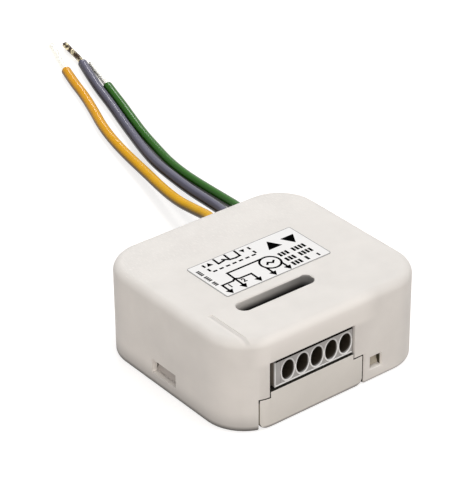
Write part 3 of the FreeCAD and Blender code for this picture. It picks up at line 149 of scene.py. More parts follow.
class TerminalLook(bpy.types.PropertyGroup):
    """Sizes and colours of the wire terminals."""
    body_colour: colour("Body", (0.42, 0.41, 0.405), "Colour of the terminal row")
    # Painted shade deep in the wire entries, where no light gets in
    hole_colour: colour("Holes", (0.030, 0.024, 0.017), "Colour deep in the wire entries")
    # Painted shade on the end plate's side behind its front face
    side_colour: colour("Side", (0.20, 0.175, 0.15), "Colour behind the end plate's front face")
    # Painted highlight: the rims round the entries are pale where the grey mouths catch light
    rim_colour: colour("Rims", (0.90, 0.90, 0.90), "Colour of the pale rims of the entries")
    # Painted shadow: a near-black strip along the top of the terminal faces, where the cover's
    # edge casts shade
    groove_colour: colour("Groove colour", (0.008, 0.007, 0.006), "Colour of the dark groove")
    grain: length("Grain", 0.00016, "Size of the moulded surface grain")
    edge: length("Edge", 0.00006, "Soft edge of the end plate and the strips")
    # Painted highlight: pale strips along the foot and the left end of the terminal faces
    lip: length("Lip", 0.00028, "Height of the pale lip below the terminal faces")
    groove: length("Groove", 0.00066, "Height of the dark groove above the terminal faces")
    face_above: length("Face above", 0.00295, "Terminal faces above the wire's axis")
    face_below: length("Face below", 0.00305, "Terminal faces below the wire's axis")
    button_colour: colour("Buttons", (0.46, 0.45, 0.43), "Colour of the release buttons")
    rim: length("Rim", 0.00027, "Thickness of the rim round a wire entry")
    entry_width: length("Entry width", 0.00326, "Width of a wire entry")
    entry_height: length("Entry height", 0.00466, "Height of a wire entry")
    entry_drop: length("Entry drop", 0.00035, "Middle of an entry below the wire's axis")


class LabelLook(bpy.types.PropertyGroup):
    """Sizes and colours of the printed label."""
    foil_colour: colour("Foil", (0.945, 0.94, 0.935), "Colour of the label foil")
    ink_colour: colour("Ink", (0.002, 0.002, 0.002), "Colour of the print")
    ink_thick: length("Ink", 0.00002, "Thickness of the print on the foil")
    line: length("Line", 0.00045, "Width of the printed lines")
    # Painted shadow: a thin grey line round the label, where its edge casts shade
    edge_colour: colour("Edge", (0.30, 0.30, 0.30), "Colour of the thin line round the label")
    edge_line: length("Edge line", 0.00016, "Width of the thin line round the label")
    edge_reach: length("Edge reach", 0.0001, "How much wider than the label its edge line is")
    corner: length("Corner", 0.0005, "Radius of the label's corners")


class LeadLook(bpy.types.PropertyGroup):
    """Sizes and colours of the leads."""
    diameter: length("Lead", 0.0024, "Diameter of an insulated lead")
    bundle: length("Bundle", 0.00145, "Diameter of a twisted bare end")
    wires: IntProperty(name="Wires", default=8, min=3, description="Wires in the bundle's skin")
    twist: length("Twist", 0.0085, "Length of one turn of the twisted wires")
    yellow: colour("Yellow", (0.92, 0.50, 0.004), "Colour of the first lead")
    slate: colour("Slate", (0.155, 0.152, 0.215), "Colour of the second lead")
    green: colour("Green", (0.024, 0.152, 0.002), "Colour of the third lead")
    tin: colour("Tin", (0.95, 0.93, 0.86), "Colour of the tinned wires")
    bright: colour("Bright wires", (0.95, 0.84, 0.56), "Colour of the second lead's wires")
    tarnish: colour("Tarnish", (0.05, 0.028, 0.012), "Colour of the tarnished wires")


class StageLook(bpy.types.PropertyGroup):
    """Camera, floor and light."""
    azimuth: FloatProperty(name="Azimuth", default=math.radians(-38.17), subtype="ANGLE",
                           description="Direction of the camera round the object")
    elevation: FloatProperty(name="Elevation", default=math.radians(30.71), subtype="ANGLE",
                             description="Height of the camera above the horizon")
    roll: FloatProperty(name="Roll", default=math.radians(-0.55), subtype="ANGLE",
                        description="Turn of the camera about its line of sight")
    distance: length("Distance", 0.44709, "Distance of the camera from its aim")
    aim: FloatVectorProperty(name="Aim", default=(0.00899, 0.020015, 0.010), unit="LENGTH",
                             subtype="TRANSLATION", precision=5,
                             description="Point that the camera looks at")
    lens: FloatProperty(name="Lens", default=158.4, subtype="DISTANCE_CAMERA",
                        description="Focal length of the camera, in millimetres")
    floor_size: length("Floor", 3.0, "Side of the floor")
    floor_colour: colour("Floor colour", (0.50, 0.475, 0.455), "Colour of the floor")
    floor_seen: FloatProperty(name="Floor as seen", default=1.24,
                              description="How bright the camera sees the floor")
    fill_colour: colour("Fill colour", (1.0, 0.93, 0.87), "Tint of the light from the camera")
    world_strength: FloatProperty(name="World", default=0.42,
                                  description="Light from all round")
    key_strength: FloatProperty(name="Key", default=0.95,
                                description="Light from above, a little from the right")
    fill_strength: FloatProperty(name="Fill", default=1.12,
                                 description="Light from the side of the camera")
    back_strength: FloatProperty(name="Back", default=0.55,
                                 description="Light from behind, which draws the leads' gloss")


# Small helpers for the modelling operators
def deselect():
    """Leaves edit mode and deselects every object."""
    if bpy.context.object and bpy.context.object.mode != "OBJECT":
        bpy.ops.object.mode_set(mode="OBJECT")
    bpy.ops.object.select_all(action="DESELECT")


def only(piece):
    """Makes a piece the only selected one."""
    deselect()
    piece.select_set(True)
    bpy.context.view_layer.objects.active = piece


def edit(piece):
    """Opens a piece in edit mode with all of it selected."""
    only(piece)
    bpy.ops.object.mode_set(mode="EDIT")
    bpy.ops.mesh.select_all(action="SELECT")


def named(name):
    """Names the new active piece and its data."""
    piece = bpy.context.object
    piece.name = name
    piece.data.name = name
    return piece


def settle(piece):
    """Puts the piece's place, turn and size into its mesh."""
    only(piece)
    bpy.ops.object.transform_apply(location=True, rotation=True, scale=True)


def applied(piece, kind, name, **settings):
    """Adds a modifier with its settings and applies it."""
    only(piece)
    modifier = piece.modifiers.new(name, kind)
    for key, value in settings.items():
        setattr(modifier, key, value)
    bpy.ops.object.modifier_apply(modifier=modifier.name)


def joined(pieces, name):
    """Joins pieces into one."""
    deselect()
    for piece in pieces:
        piece.select_set(True)
    bpy.context.view_layer.objects.active = pieces[0]
    bpy.ops.object.join()
    return named(name)


def finished(piece, material, slot, *nodes):
    """Gives a piece its material and body, and hides the CAD nodes it stands for; the slot is not
    used.
    """
    piece.data.materials.clear()
    piece.data.materials.append(material)
    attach(piece, BODY)
    if nodes:
        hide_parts(*nodes)


def paint(material, *nodes):
    """Gives CAD nodes a material."""
    for node in nodes:
        slots = frame["nodes"][node].data.materials
        slots.clear()
        slots.append(material)


# Materials
BLOTCH = 0.006  # Size of the faint blotches in moulded plastic
# Painted shade on a sleeve's underside, up to a painted highlight on its top
SLEEVE_PAINTED_SHADE = ((0.0, 0.09), (0.55, 0.72), (0.93, 1.0))  # Height on a sleeve, and its tone


def new_material(name):
    """A node material with its shader and its object coordinates."""
    material = bpy.data.materials.new(name)
    material.use_nodes = True
    tree = material.node_tree
    shader = tree.nodes["Principled BSDF"]
    place = tree.nodes.new("ShaderNodeTexCoord")
    return material, tree, shader, place.outputs["Object"]


def noise(tree, place, size, detail=3.0, roughness=0.5, stretch=None):
    """A noise pattern whose blotches have a size in metres, stretched if asked."""
    mapping = tree.nodes.new("ShaderNodeMapping")
    scale = stretch or (1.0, 1.0, 1.0)
    mapping.inputs["Scale"].default_value = [1.0 / (size * part) for part in scale]
    tree.links.new(place, mapping.inputs["Vector"])
    pattern = tree.nodes.new("ShaderNodeTexNoise")
    pattern.inputs["Scale"].default_value = 1.0
    pattern.inputs["Detail"].default_value = detail
    pattern.inputs["Roughness"].default_value = roughness
    tree.links.new(mapping.outputs["Vector"], pattern.inputs["Vector"])
    return pattern.outputs["Fac"]


def ramp(tree, factor, *stops):
    """A colour ramp from stops of position and colour."""
    node = tree.nodes.new("ShaderNodeValToRGB")
    elements = node.color_ramp.elements
    while len(elements) < len(stops):
        elements.new(0.5)
    for element, (position, value) in zip(elements, stops):
        element.position = position
        element.color = (*value, 1.0)
    tree.links.new(factor, node.inputs["Fac"])
    return node.outputs["Color"]


def shade(value, factor):
    """A colour made lighter or darker."""
    return tuple(min(1.0, part * factor) for part in value)


def spread(tree, factor, low, high):
    """A noise factor, most of it between 0.3 and 0.7, mapped to a range of values."""
    node = tree.nodes.new("ShaderNodeMapRange")
    node.inputs["From Min"].default_value = 0.3
    node.inputs["From Max"].default_value = 0.7
    node.inputs["To Min"].default_value = low
    node.inputs["To Max"].default_value = high
    tree.links.new(factor, node.inputs["Value"])
    return node.outputs["Result"]


def bump(tree, shader, height, depth, strength):
    """A fine relief, its depth in metres."""
    node = tree.nodes.new("ShaderNodeBump")
    node.inputs["Strength"].default_value = strength
    node.inputs["Distance"].default_value = depth
    tree.links.new(height, node.inputs["Height"])
    tree.links.new(node.outputs["Normal"], shader.inputs["Normal"])


def moulded(name, value, grain, gloss=0.46, relief=0.25, mottle=0.03, shine=0.4):
    """Moulded plastic: fine mould grain, faint blotches and uneven gloss."""
    material, tree, shader, place = new_material(name)
    blotch = noise(tree, place, BLOTCH, 4.0)
    tree.links.new(ramp(tree, blotch, (0.3, shade(value, 1 - mottle)),
                        (0.7, shade(value, 1 + mottle))), shader.inputs["Base Color"])
    tree.links.new(spread(tree, noise(tree, place, grain * 8), gloss - 0.05, gloss + 0.07),
                   shader.inputs["Roughness"])
    bump(tree, shader, noise(tree, place, grain, 2.0), grain * 0.12, relief)
    shader.inputs["Specular IOR Level"].default_value = shine
    return material


def along(tree, place, axis, near, far):
    """A factor that rises from 0 to 1 between two places on an axis."""
    split = tree.nodes.new("ShaderNodeSeparateXYZ")
    tree.links.new(place, split.inputs["Vector"])
    reach = tree.nodes.new("ShaderNodeMapRange")
    reach.interpolation_type = "SMOOTHSTEP"
    reach.inputs["From Min"].default_value = near
    reach.inputs["From Max"].default_value = far
    tree.links.new(split.outputs[axis], reach.inputs["Value"])
    return reach.outputs["Result"]


def object_place(material):
    """The tree, the shader and the object coordinates of a material."""
    tree = material.node_tree
    return (tree, tree.nodes["Principled BSDF"],
            tree.nodes["Texture Coordinate"].outputs["Object"])


def band(axis, middle, half, soft):
    """The two reaches whose product is 1 within a band across an axis and 0 outside it."""
    return ((axis, middle - half - soft, middle - half),
            (axis, middle + half + soft, middle + half))


def toned(material, tone, *reaches):
    """Blends a material's colour towards a tone by the product of its reaches.

    A reach is a factor, or an axis and the two places on it where it leaves 0 and gets to 1.
    """
    tree, shader, place = object_place(material)
    factor = None
    for reach in reaches:
        part = along(tree, place, *reach) if isinstance(reach, tuple) else reach
        if factor is not None:
            product = tree.nodes.new("ShaderNodeMath")
            product.operation = "MULTIPLY"
            tree.links.new(factor, product.inputs[0])
            tree.links.new(part, product.inputs[1])
            part = product.outputs["Value"]
        factor = part
    mix = tree.nodes.new("ShaderNodeMix")
    mix.data_type = "RGBA"
    tree.links.new(factor, mix.inputs["Factor"])
    tree.links.new(shader.inputs["Base Color"].links[0].from_socket, mix.inputs["A"])
    mix.inputs["B"].default_value = (*tone, 1.0)
    tree.links.new(mix.outputs["Result"], shader.inputs["Base Color"])


def metal(name, value, gloss, grain, stretch=None, dull=None):
    """Bare metal with drawn or rolled streaks, tarnished in blotches if asked."""
    material, tree, shader, place = new_material(name)
    streak = noise(tree, place, grain, 3.0, 0.6, stretch)
    stops = ((0.25, shade(value, 0.86)), (0.75, shade(value, 1.06)))
    if dull:
        stops = ((0.50, dull), (0.56, shade(value, 0.5)), (0.63, value))
    tree.links.new(ramp(tree, streak, *stops), shader.inputs["Base Color"])
    tree.links.new(spread(tree, streak, gloss - 0.06, gloss + 0.08), shader.inputs["Roughness"])
    shader.inputs["Metallic"].default_value = 1.0
    bump(tree, shader, streak, grain * 0.1, 0.2)
    return material


def sleeve(name, value, far, underside_shade):
    """PVC sleeve: glossy, with a painted highlight along its top and painted shade below it, its
    tint blending towards the far tint along the lead.
    """
    material, tree, shader, place = new_material(name)
    tint = ramp(tree, along(tree, place, "Y", 0.03, 0.12), (0.0, value), (1.0, far))
    streaks = ramp(tree, noise(tree, place, 0.004, 3.0),
                   (0.3, (0.92, 0.92, 0.92)), (0.7, (1.0, 1.0, 1.0)))
    facing = tree.nodes["Texture Coordinate"].outputs["Normal"]
    # Painted shade and highlight by the surface's height: dark underside, pale top
    painted_shade_and_highlight = ramp(tree, along(tree, facing, "Z", -0.12, 1.0),
                  *[(height, (tone * underside_shade,) * 3) for height, tone in SLEEVE_PAINTED_SHADE],
                  (0.99, (1.0, 1.0, 1.0)))
    for layer in (streaks, painted_shade_and_highlight):
        mix = tree.nodes.new("ShaderNodeMix")
        mix.data_type = "RGBA"
        mix.blend_type = "MULTIPLY"
        mix.inputs["Factor"].default_value = 1.0
        tree.links.new(tint, mix.inputs["A"])
        tree.links.new(layer, mix.inputs["B"])
        tint = mix.outputs["Result"]
    tree.links.new(tint, shader.inputs["Base Color"])
    wave = noise(tree, place, 0.005, 2.0)
    tree.links.new(spread(tree, wave, 0.19, 0.24), shader.inputs["Roughness"])
    shader.inputs["Specular IOR Level"].default_value = 0.07
    bump(tree, shader, wave, 0.00003, 0.1)
    return material


def laminate(name, value, copper):
    """Circuit board: solder mask over copper tracks, both from cell patterns."""
    material, tree, shader, place = new_material(name)
    tracks = tree.nodes.new("ShaderNodeTexBrick")
    tracks.inputs["Scale"].default_value = 260.0
    tracks.inputs["Mortar Size"].default_value = 0.06
    tracks.inputs["Color1"].default_value = (*value, 1.0)
    tracks.inputs["Color2"].default_value = (*shade(value, 1.25), 1.0)
    tracks.inputs["Mortar"].default_value = (*copper, 1.0)
    tree.links.new(place, tracks.inputs["Vector"])
    tree.links.new(tracks.outputs["Color"], shader.inputs["Base Color"])
    tree.links.new(spread(tree, noise(tree, place, 0.002), 0.25, 0.4), shader.inputs["Roughness"])
    bump(tree, shader, tracks.outputs["Fac"], 0.00004, 0.3)
    return material


class RECEIVER_OT_camera(bpy.types.Operator):
    """Place the camera at the viewing angle"""
    bl_idname = "receiver.camera"
    bl_label = "Camera"

    def execute(self, context):
        look = context.scene.receiver_stage
        turn = (Matrix.Rotation(look.azimuth, 3, "Z")
                @ Matrix.Rotation(math.pi / 2 - look.elevation, 3, "X")
                @ Matrix.Rotation(look.roll, 3, "Z"))
        eye = Vector(look.aim) + turn @ Vector((0, 0, look.distance))
        deselect()
        bpy.ops.object.camera_add(location=eye, rotation=turn.to_euler())
        camera = named("camera")
        camera.data.sensor_width = 36.0
        camera.data.lens = look.lens
        camera.data.clip_start = 0.01
        context.scene.camera = camera
        return {"FINISHED"}


def route_curve(name, points, radius):
    """A smooth open line through a route, with a round section if it has a radius."""
    deselect()
    bpy.ops.curve.primitive_nurbs_path_add(radius=1.0, location=(0, 0, 0))
    piece = named(name)
    curve = piece.data
    curve.splines.clear()
    spline = curve.splines.new("NURBS")
    spline.points.add(len(points) - 1)
    for control, point in zip(spline.points, points):
        control.co = (*point, 1.0)
    spline.order_u = 3
    spline.use_endpoint_u = True
    spline.resolution_u = 12
    curve.dimensions = "3D"
    curve.bevel_depth = radius
    curve.bevel_resolution = 6
    curve.use_fill_caps = True
    return piece


def line_points(points):
    """Points along the smooth line of a route."""
    guide = route_curve("guide", points, 0.0)
    mesh = bpy.data.meshes.new_from_object(guide)
    found = [vertex.co.copy() for vertex in mesh.vertices]
    bpy.data.objects.remove(guide)
    bpy.data.meshes.remove(mesh)
    return found


def twisted_wire(name, line, offset, phase, turn_length, radius, splay):
    """One wire of a twisted bundle, wound round a line, its tip a little loose."""
    travelled = 0.0
    total = sum((b - a).length for a, b in zip(line, line[1:]))
    points = []
    for index, point in enumerate(line):
        ahead = line[min(index + 1, len(line) - 1)] - line[max(index - 1, 0)]
        ahead.normalize()
        side = ahead.cross(Vector((0, 0, 1))).normalized()
        rise = side.cross(ahead)
        if index:
            travelled += (point - line[index - 1]).length
        angle = phase + 2 * math.pi * travelled / turn_length
        loose = max(0.0, travelled / total - SPREAD_FROM) / (1 - SPREAD_FROM)
        reach = offset * (1 + splay * loose)
        points.append(point + (side * math.cos(angle) + rise * math.sin(angle)) * reach)
    wire = route_curve(name, points, radius)
    wire.data.splines[0].resolution_u = 2
    wire.data.bevel_resolution = 2
    only(wire)
    bpy.ops.object.convert(target="MESH")
    return bpy.context.object


class RECEIVER_OT_leads(bpy.types.Operator):
    """Lay the leads and their twisted bare ends"""
    bl_idname = "receiver.leads"
    bl_label = "Leads"

    def execute(self, context):
        look = context.scene.receiver_leads
        tin = metal("tinned_wire", look.tin, gloss=0.34, grain=0.0006)
        bright = metal("bright_wire", look.bright, gloss=0.22, grain=0.0018, dull=look.tarnish)
        for number, name in enumerate(WIRES):
            tint = far = getattr(look, name)
            # The yellow gets painted shade towards its far end
            if name == "yellow":
                far = [part * far_shade for part, far_shade in zip(tint, YELLOW_FAR_SHADE)]
            cover = sleeve(f"{name}_sleeve", tint, far, PAINTED_SIDE_SHADE[name])
            paint(cover, f"lead_tail_{name}")
            route = metres(LEAD_ROUTES[name])
            lead = route_curve(f"sleeve_{name}", route, look.diameter / 2)

            ahead = route[-1] - route[-2]
            ahead.normalize()
            end = metres(END_ROUTES[name])
            line = line_points([end[0] - ahead * look.bundle, *end])
            wire_radius = look.bundle / 2 * math.pi / (look.wires + math.pi) * WIRE_PRESS
            core_radius = look.bundle / 2 - wire_radius
            wires = [twisted_wire(f"wire_{index}", line, core_radius,
                                  2 * math.pi * index / look.wires + number, look.twist,
                                  wire_radius, SPLAYS[index % 3])
                     for index in range(look.wires)]
            core = twisted_wire("wire_core", line, 0.0, 0.0, look.twist, core_radius, 0.0)
            bundle = joined(wires + [core], f"twisted_end_{name}")
            only(bundle)
            bpy.ops.object.shade_smooth()
            finished(bundle, bright if name == "slate" else tin, "tinned_strand",
                     f"bare_end_{name}")
            finished(lead, cover, f"lead_{name}", f"lead_{name}")
        return {"FINISHED"}


def shaded(piece, material, chosen):
    """Gives a second material to the faces that a test on place and normal chooses."""
    piece.data.materials.append(material)
    slot = len(piece.data.materials) - 1
    for face in piece.data.polygons:
        if chosen(face.center, face.normal):
            face.material_index = slot


COVER_LOW, COVER_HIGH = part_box("housing_cover")
# Middles and half sizes of the release slot and of the windows with their hooks
SLOT_X, SLOT_HALF_X, SLOT_Y, SLOT_HALF_Y = -0.0051, 0.00905, -0.0102, 0.00165
SIDE_WINDOW_Y, SIDE_WINDOW_HALF = 0.0002, 0.00375
FRONT_WINDOW_X, FRONT_WINDOW_HALF = 0.0102, 0.0017
WINDOW_LOW, WINDOW_HIGH = 0.0025, 0.0057
# Radius of the cover's corners, depth of the walls with the hooks, and the depths within the
# walls and below the top at which the inside of the cover starts
HOUSING_CORNER, WALL, INSIDE, CEILING = 0.009, 0.0018, 0.00145, 0.0014
# Limits of the gaps in the front wall, and the top of the gaps beside the flap
GAP_LEFT, GAP_RIGHT, GAP_REAR = -0.0184, 0.0071, -0.0204
GAP_LOW, GAP_HIGH, FLAP_GAP_HIGH = 0.0005, 0.0147, 0.0080


def slot_face(spot, facing):
    """Whether a face of the cover lies in the release slot."""
    return (abs(spot.x - SLOT_X) < SLOT_HALF_X and abs(spot.y - SLOT_Y) < SLOT_HALF_Y
            and spot.z < COVER_HIGH[2] - 0.0001 and abs(facing.z) < 0.98)


def depth_inside(spot):
    """How far a place lies inside the cover's rounded outline, seen from above."""
    over_x = abs(spot.x) - (COVER_HIGH[0] - HOUSING_CORNER)
    over_y = abs(spot.y) - (COVER_HIGH[1] - HOUSING_CORNER)
    beyond = math.hypot(max(over_x, 0.0), max(over_y, 0.0)) + min(max(over_x, over_y), 0.0)
    return HOUSING_CORNER - beyond


def inner_face(spot, facing):
    """Whether a face of the cover belongs to its inside."""
    return (depth_inside(spot) > INSIDE and spot.z < COVER_HIGH[2] - CEILING
            and not slot_face(spot, facing))


def gap_face(spot, facing):
    """Whether a face lies in the gaps round the flap and above and below the terminals."""
    return (spot.y < GAP_REAR and abs(facing.y) < 0.6 and GAP_LOW < spot.z < GAP_HIGH
            and GAP_LEFT < spot.x < GAP_RIGHT
            and (spot.z < FLAP_GAP_HIGH or abs(facing.z) > 0.7))


def side_window(spot):
    """Whether a place is in a window of the left or right wall."""
    return (abs(spot.x) > COVER_HIGH[0] - WALL and WINDOW_LOW < spot.z < WINDOW_HIGH
            and abs(spot.y - SIDE_WINDOW_Y) < SIDE_WINDOW_HALF)


def front_window(spot):
    """Whether a place is in a window of the front or rear wall."""
    return (abs(spot.y) > COVER_HIGH[1] - WALL and WINDOW_LOW < spot.z < WINDOW_HIGH
            and abs(abs(spot.x) - FRONT_WINDOW_X) < FRONT_WINDOW_HALF)


def side_jamb_face(spot, facing):
    """Whether a face lies beside or above the hook in a side window."""
    return side_window(spot) and abs(facing.x) < 0.6 and facing.z < 0.5


def front_jamb_face(spot, facing):
    """Whether a face lies beside or above the hook in a front or rear window."""
    return front_window(spot) and abs(facing.y) < 0.6 and facing.z < 0.5


def sill_face(spot, facing):
    """Whether a face is the sill of a window."""
    return facing.z >= 0.5 and (side_window(spot) and abs(facing.x) < 0.6
                                or front_window(spot) and abs(facing.y) < 0.6)


SMOOTH_ANGLE = math.radians(32)


def merged(piece, distance, flatten=False):
    """Merges a piece's doubled points, and its faces that lie in one plane if asked."""
    edit(piece)
    bpy.ops.mesh.remove_doubles(threshold=distance)
    if flatten:
        bpy.ops.mesh.dissolve_limited(angle_limit=math.radians(0.3))
    bpy.ops.object.mode_set(mode="OBJECT")


def soft_copy(node, name, edge):
    """A merged copy of a CAD node with smooth faces, and soft edges if edge has a width."""
    only(frame["nodes"][node])
    bpy.ops.object.duplicate()
    piece = named(name)
    bpy.ops.object.parent_clear(type="CLEAR_KEEP_TRANSFORM")
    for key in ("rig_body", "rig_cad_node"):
        if key in piece:
            del piece[key]
    if piece.data.has_custom_normals:
        bpy.ops.mesh.customdata_custom_splitnormals_clear()
    merged(piece, 0.000002, flatten=edge > 0)
    if edge:
        applied(piece, "BEVEL", "soft_edge", width=edge, segments=2, limit_method="ANGLE",
                angle_limit=math.radians(40), use_clamp_overlap=True)
    merged(piece, 0.0000005)
    bpy.ops.object.shade_smooth_by_angle(angle=SMOOTH_ANGLE)
    return piece


# Painted light and shade on the cover's walls: how light they are, and their reaches. The wall
# over the terminal opening is lighter where more light falls; the left wall darkens towards the
# bottom and all walls along their bottom edge, where shade falls
PAINTED_WALL_LIGHT_AND_SHADE = (
    (1.13, ("Z", 0.0135, 0.0150), ("Y", -0.0205, -0.0217), *band("X", -0.005, 0.011, 0.005)),
    (0.6, ("Z", 0.0046, -0.0004), ("X", -0.009, -0.0215)),
    (0.4, ("Z", 0.0009, 0.0002)),
    (0.2, ("Z", 0.0014, 0.0004), ("X", -0.010, -0.0185)),
)


def cover_plastic(look):
    """The cover's plastic, with a thin line of painted shade and a painted highlight beside it,
    streaks from the mould, and its walls' painted light and shade.
    """
    top = COVER_HIGH[2]
    plastic = moulded("cover_plastic", look.cover_colour, look.grain, gloss=0.54, shine=0.22)
    tree, _, place = object_place(plastic)
    # A thin line of painted shade near the left edge, on the front part of the top, along a
    # shallow groove, and a painted highlight beside it
    faded = spread(tree, noise(tree, place, 0.0022), 0.55, 1.0)
    line_x = COVER_LOW[0] + 0.0043
    for middle, half, light in ((line_x, 0.0002, 0.83), (line_x - 0.0007, 0.0001, 1.05)):
        toned(plastic, shade(look.cover_colour, light), faded, *band("X", middle, half, 0.0003),
              ("Y", -0.0086, -0.0096), ("Z", top - 0.0012, top - 0.0004))
    # Faint streaks on the rear part of the top
    streaks = noise(tree, place, 0.0011, 4.0, 0.65, (0.12, 1, 1))
    toned(plastic, shade(look.cover_colour, 1.1), spread(tree, streaks, -1.4, 1.2),
          ("Y", 0.004, 0.012), ("Z", top - 0.0006, top - 0.0002))
    for light, *reaches in PAINTED_WALL_LIGHT_AND_SHADE:
        toned(plastic, shade(look.cover_colour, light), *reaches)
    return plastic


def line_openings(cover, look):
    """Gives the windows and the release slot of the cover painted light and shade: jambs lighter
    near the outside and darker deep in, lighter sills, and a slot darker to the right and with
    depth.
    """
    for name, axis, depth, soft, chosen in (
            ("side_jamb", "X", COVER_HIGH[0] - 0.0013, 0.0002, side_jamb_face),
            ("front_jamb", "Y", COVER_HIGH[1] - 0.0008, 0.0003, front_jamb_face)):
        # Painted light on the jambs and sills, painted shade deeper in the jambs
        jamb_light_and_shade = moulded(name, shade(look.cover_colour, 1.12), look.grain)
        toned(jamb_light_and_shade, look.jamb_colour, *band(axis, 0.0, depth, soft))
        shaded(cover, jamb_light_and_shade, chosen)
    shaded(cover, moulded("sill_plastic", shade(look.cover_colour, 1.15), look.grain), sill_face)
    # Painted shade in the release slot: darker to the right and darker with depth
    slot_shade = moulded("slot_wall", look.cover_colour, look.grain)
    toned(slot_shade, (0.15, 0.15, 0.15), ("X", -0.022, 0.012))
    toned(slot_shade, (0.03, 0.03, 0.03),
          ("Z", COVER_HIGH[2] - 0.0011, COVER_HIGH[2] - look.slot_depth))
    shaded(cover, slot_shade, slot_face)


class RECEIVER_OT_housing(bpy.types.Operator):
    """Finish the cover and the base plate"""
    bl_idname = "receiver.housing"
    bl_label = "Housing"

    def execute(self, context):
        look = context.scene.receiver_housing
        cover = soft_copy("housing_cover", "cover_shell", look.edge)
        finished(cover, cover_plastic(look), "housing_white", "housing_cover")
        # Painted shade: the inside of the cover is darker than its outside, as deep shade falls
        # there
        inside = moulded("cover_inside", shade(look.cover_colour, 0.3), look.grain, gloss=0.6)
        shaded(cover, inside, inner_face)
        # Painted shade on the gap faces of both shells, with painted light in the gap left of the
        # flap
        gap = moulded("gap_shade", look.gap_colour, look.grain, gloss=0.7, relief=0.1, shine=0.1)
        toned(gap, look.open_gap_colour, ("X", -0.0176, -0.0180), ("Z", 0.0064, 0.0058))
        shaded(cover, gap, gap_face)
        line_openings(cover, look)

        base = soft_copy("base_plate", "base_shell", look.edge)
        plastic = moulded("base_plastic", look.base_colour, look.grain, gloss=0.54, shine=0.22)
        # Painted shade: the front of the base darker along its bottom edge, where shade falls
        toned(plastic, shade(look.base_colour, 0.25), ("Z", 0.0010, 0.0004),
              ("Y", -0.0205, -0.0210))
        finished(base, plastic, "base_white", "base_plate")
        shaded(base, gap, gap_face)
        # Painted shade on the hooks in the windows
        shaded(base, moulded("latch_shade", look.latch_colour, look.grain),
               lambda spot, facing: front_window(spot))
        shaded(base, moulded("side_latch_shade", look.side_latch_colour, look.grain),
               lambda spot, facing: side_window(spot))
        paint(plastic, "lead_clamp")
        return {"FINISHED"}


STRIP_THICK = 0.0002


def strip(low, high, edge, name="strip"):
    """A thin strip with rounded edges on the terminal faces, between two of its corners."""
    deselect()
    bpy.ops.mesh.primitive_cube_add(size=1.0, location=(Vector(low) + Vector(high)) / 2)
    piece = named(name)
    piece.scale = (high[0] - low[0], STRIP_THICK, high[2] - low[2])
    settle(piece)
    applied(piece, "BEVEL", "round", width=edge, segments=2)
    bpy.ops.object.shade_smooth_by_angle(angle=SMOOTH_ANGLE)
    return piece


def entry_rims(look, front, middle):
    """The oval rims round the wire entries, modelled once and copied."""
    deselect()
    bpy.ops.mesh.primitive_torus_add(major_radius=look.entry_width / 2,
                                     minor_radius=look.rim / 2, major_segments=56,
                                     minor_segments=10, location=(0, 0, 0),
                                     rotation=(math.pi / 2, 0, 0))
    rim = named("entry_rim_1")
    settle(rim)
    rim.scale = (1.0, 1.0, look.entry_height / look.entry_width)
    settle(rim)
    bpy.ops.object.shade_smooth()
    rims = [rim]
    for number in POLES[1:]:
        only(rim)
        bpy.ops.object.duplicate()
        rims.append(named(f"entry_rim_{number}"))
    for number, piece in zip(POLES, rims):
        near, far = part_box(f"pole_housing_{number}")
        piece.location = ((near[0] + far[0]) / 2, front + look.rim * 0.1, middle)
        settle(piece)
    return rims


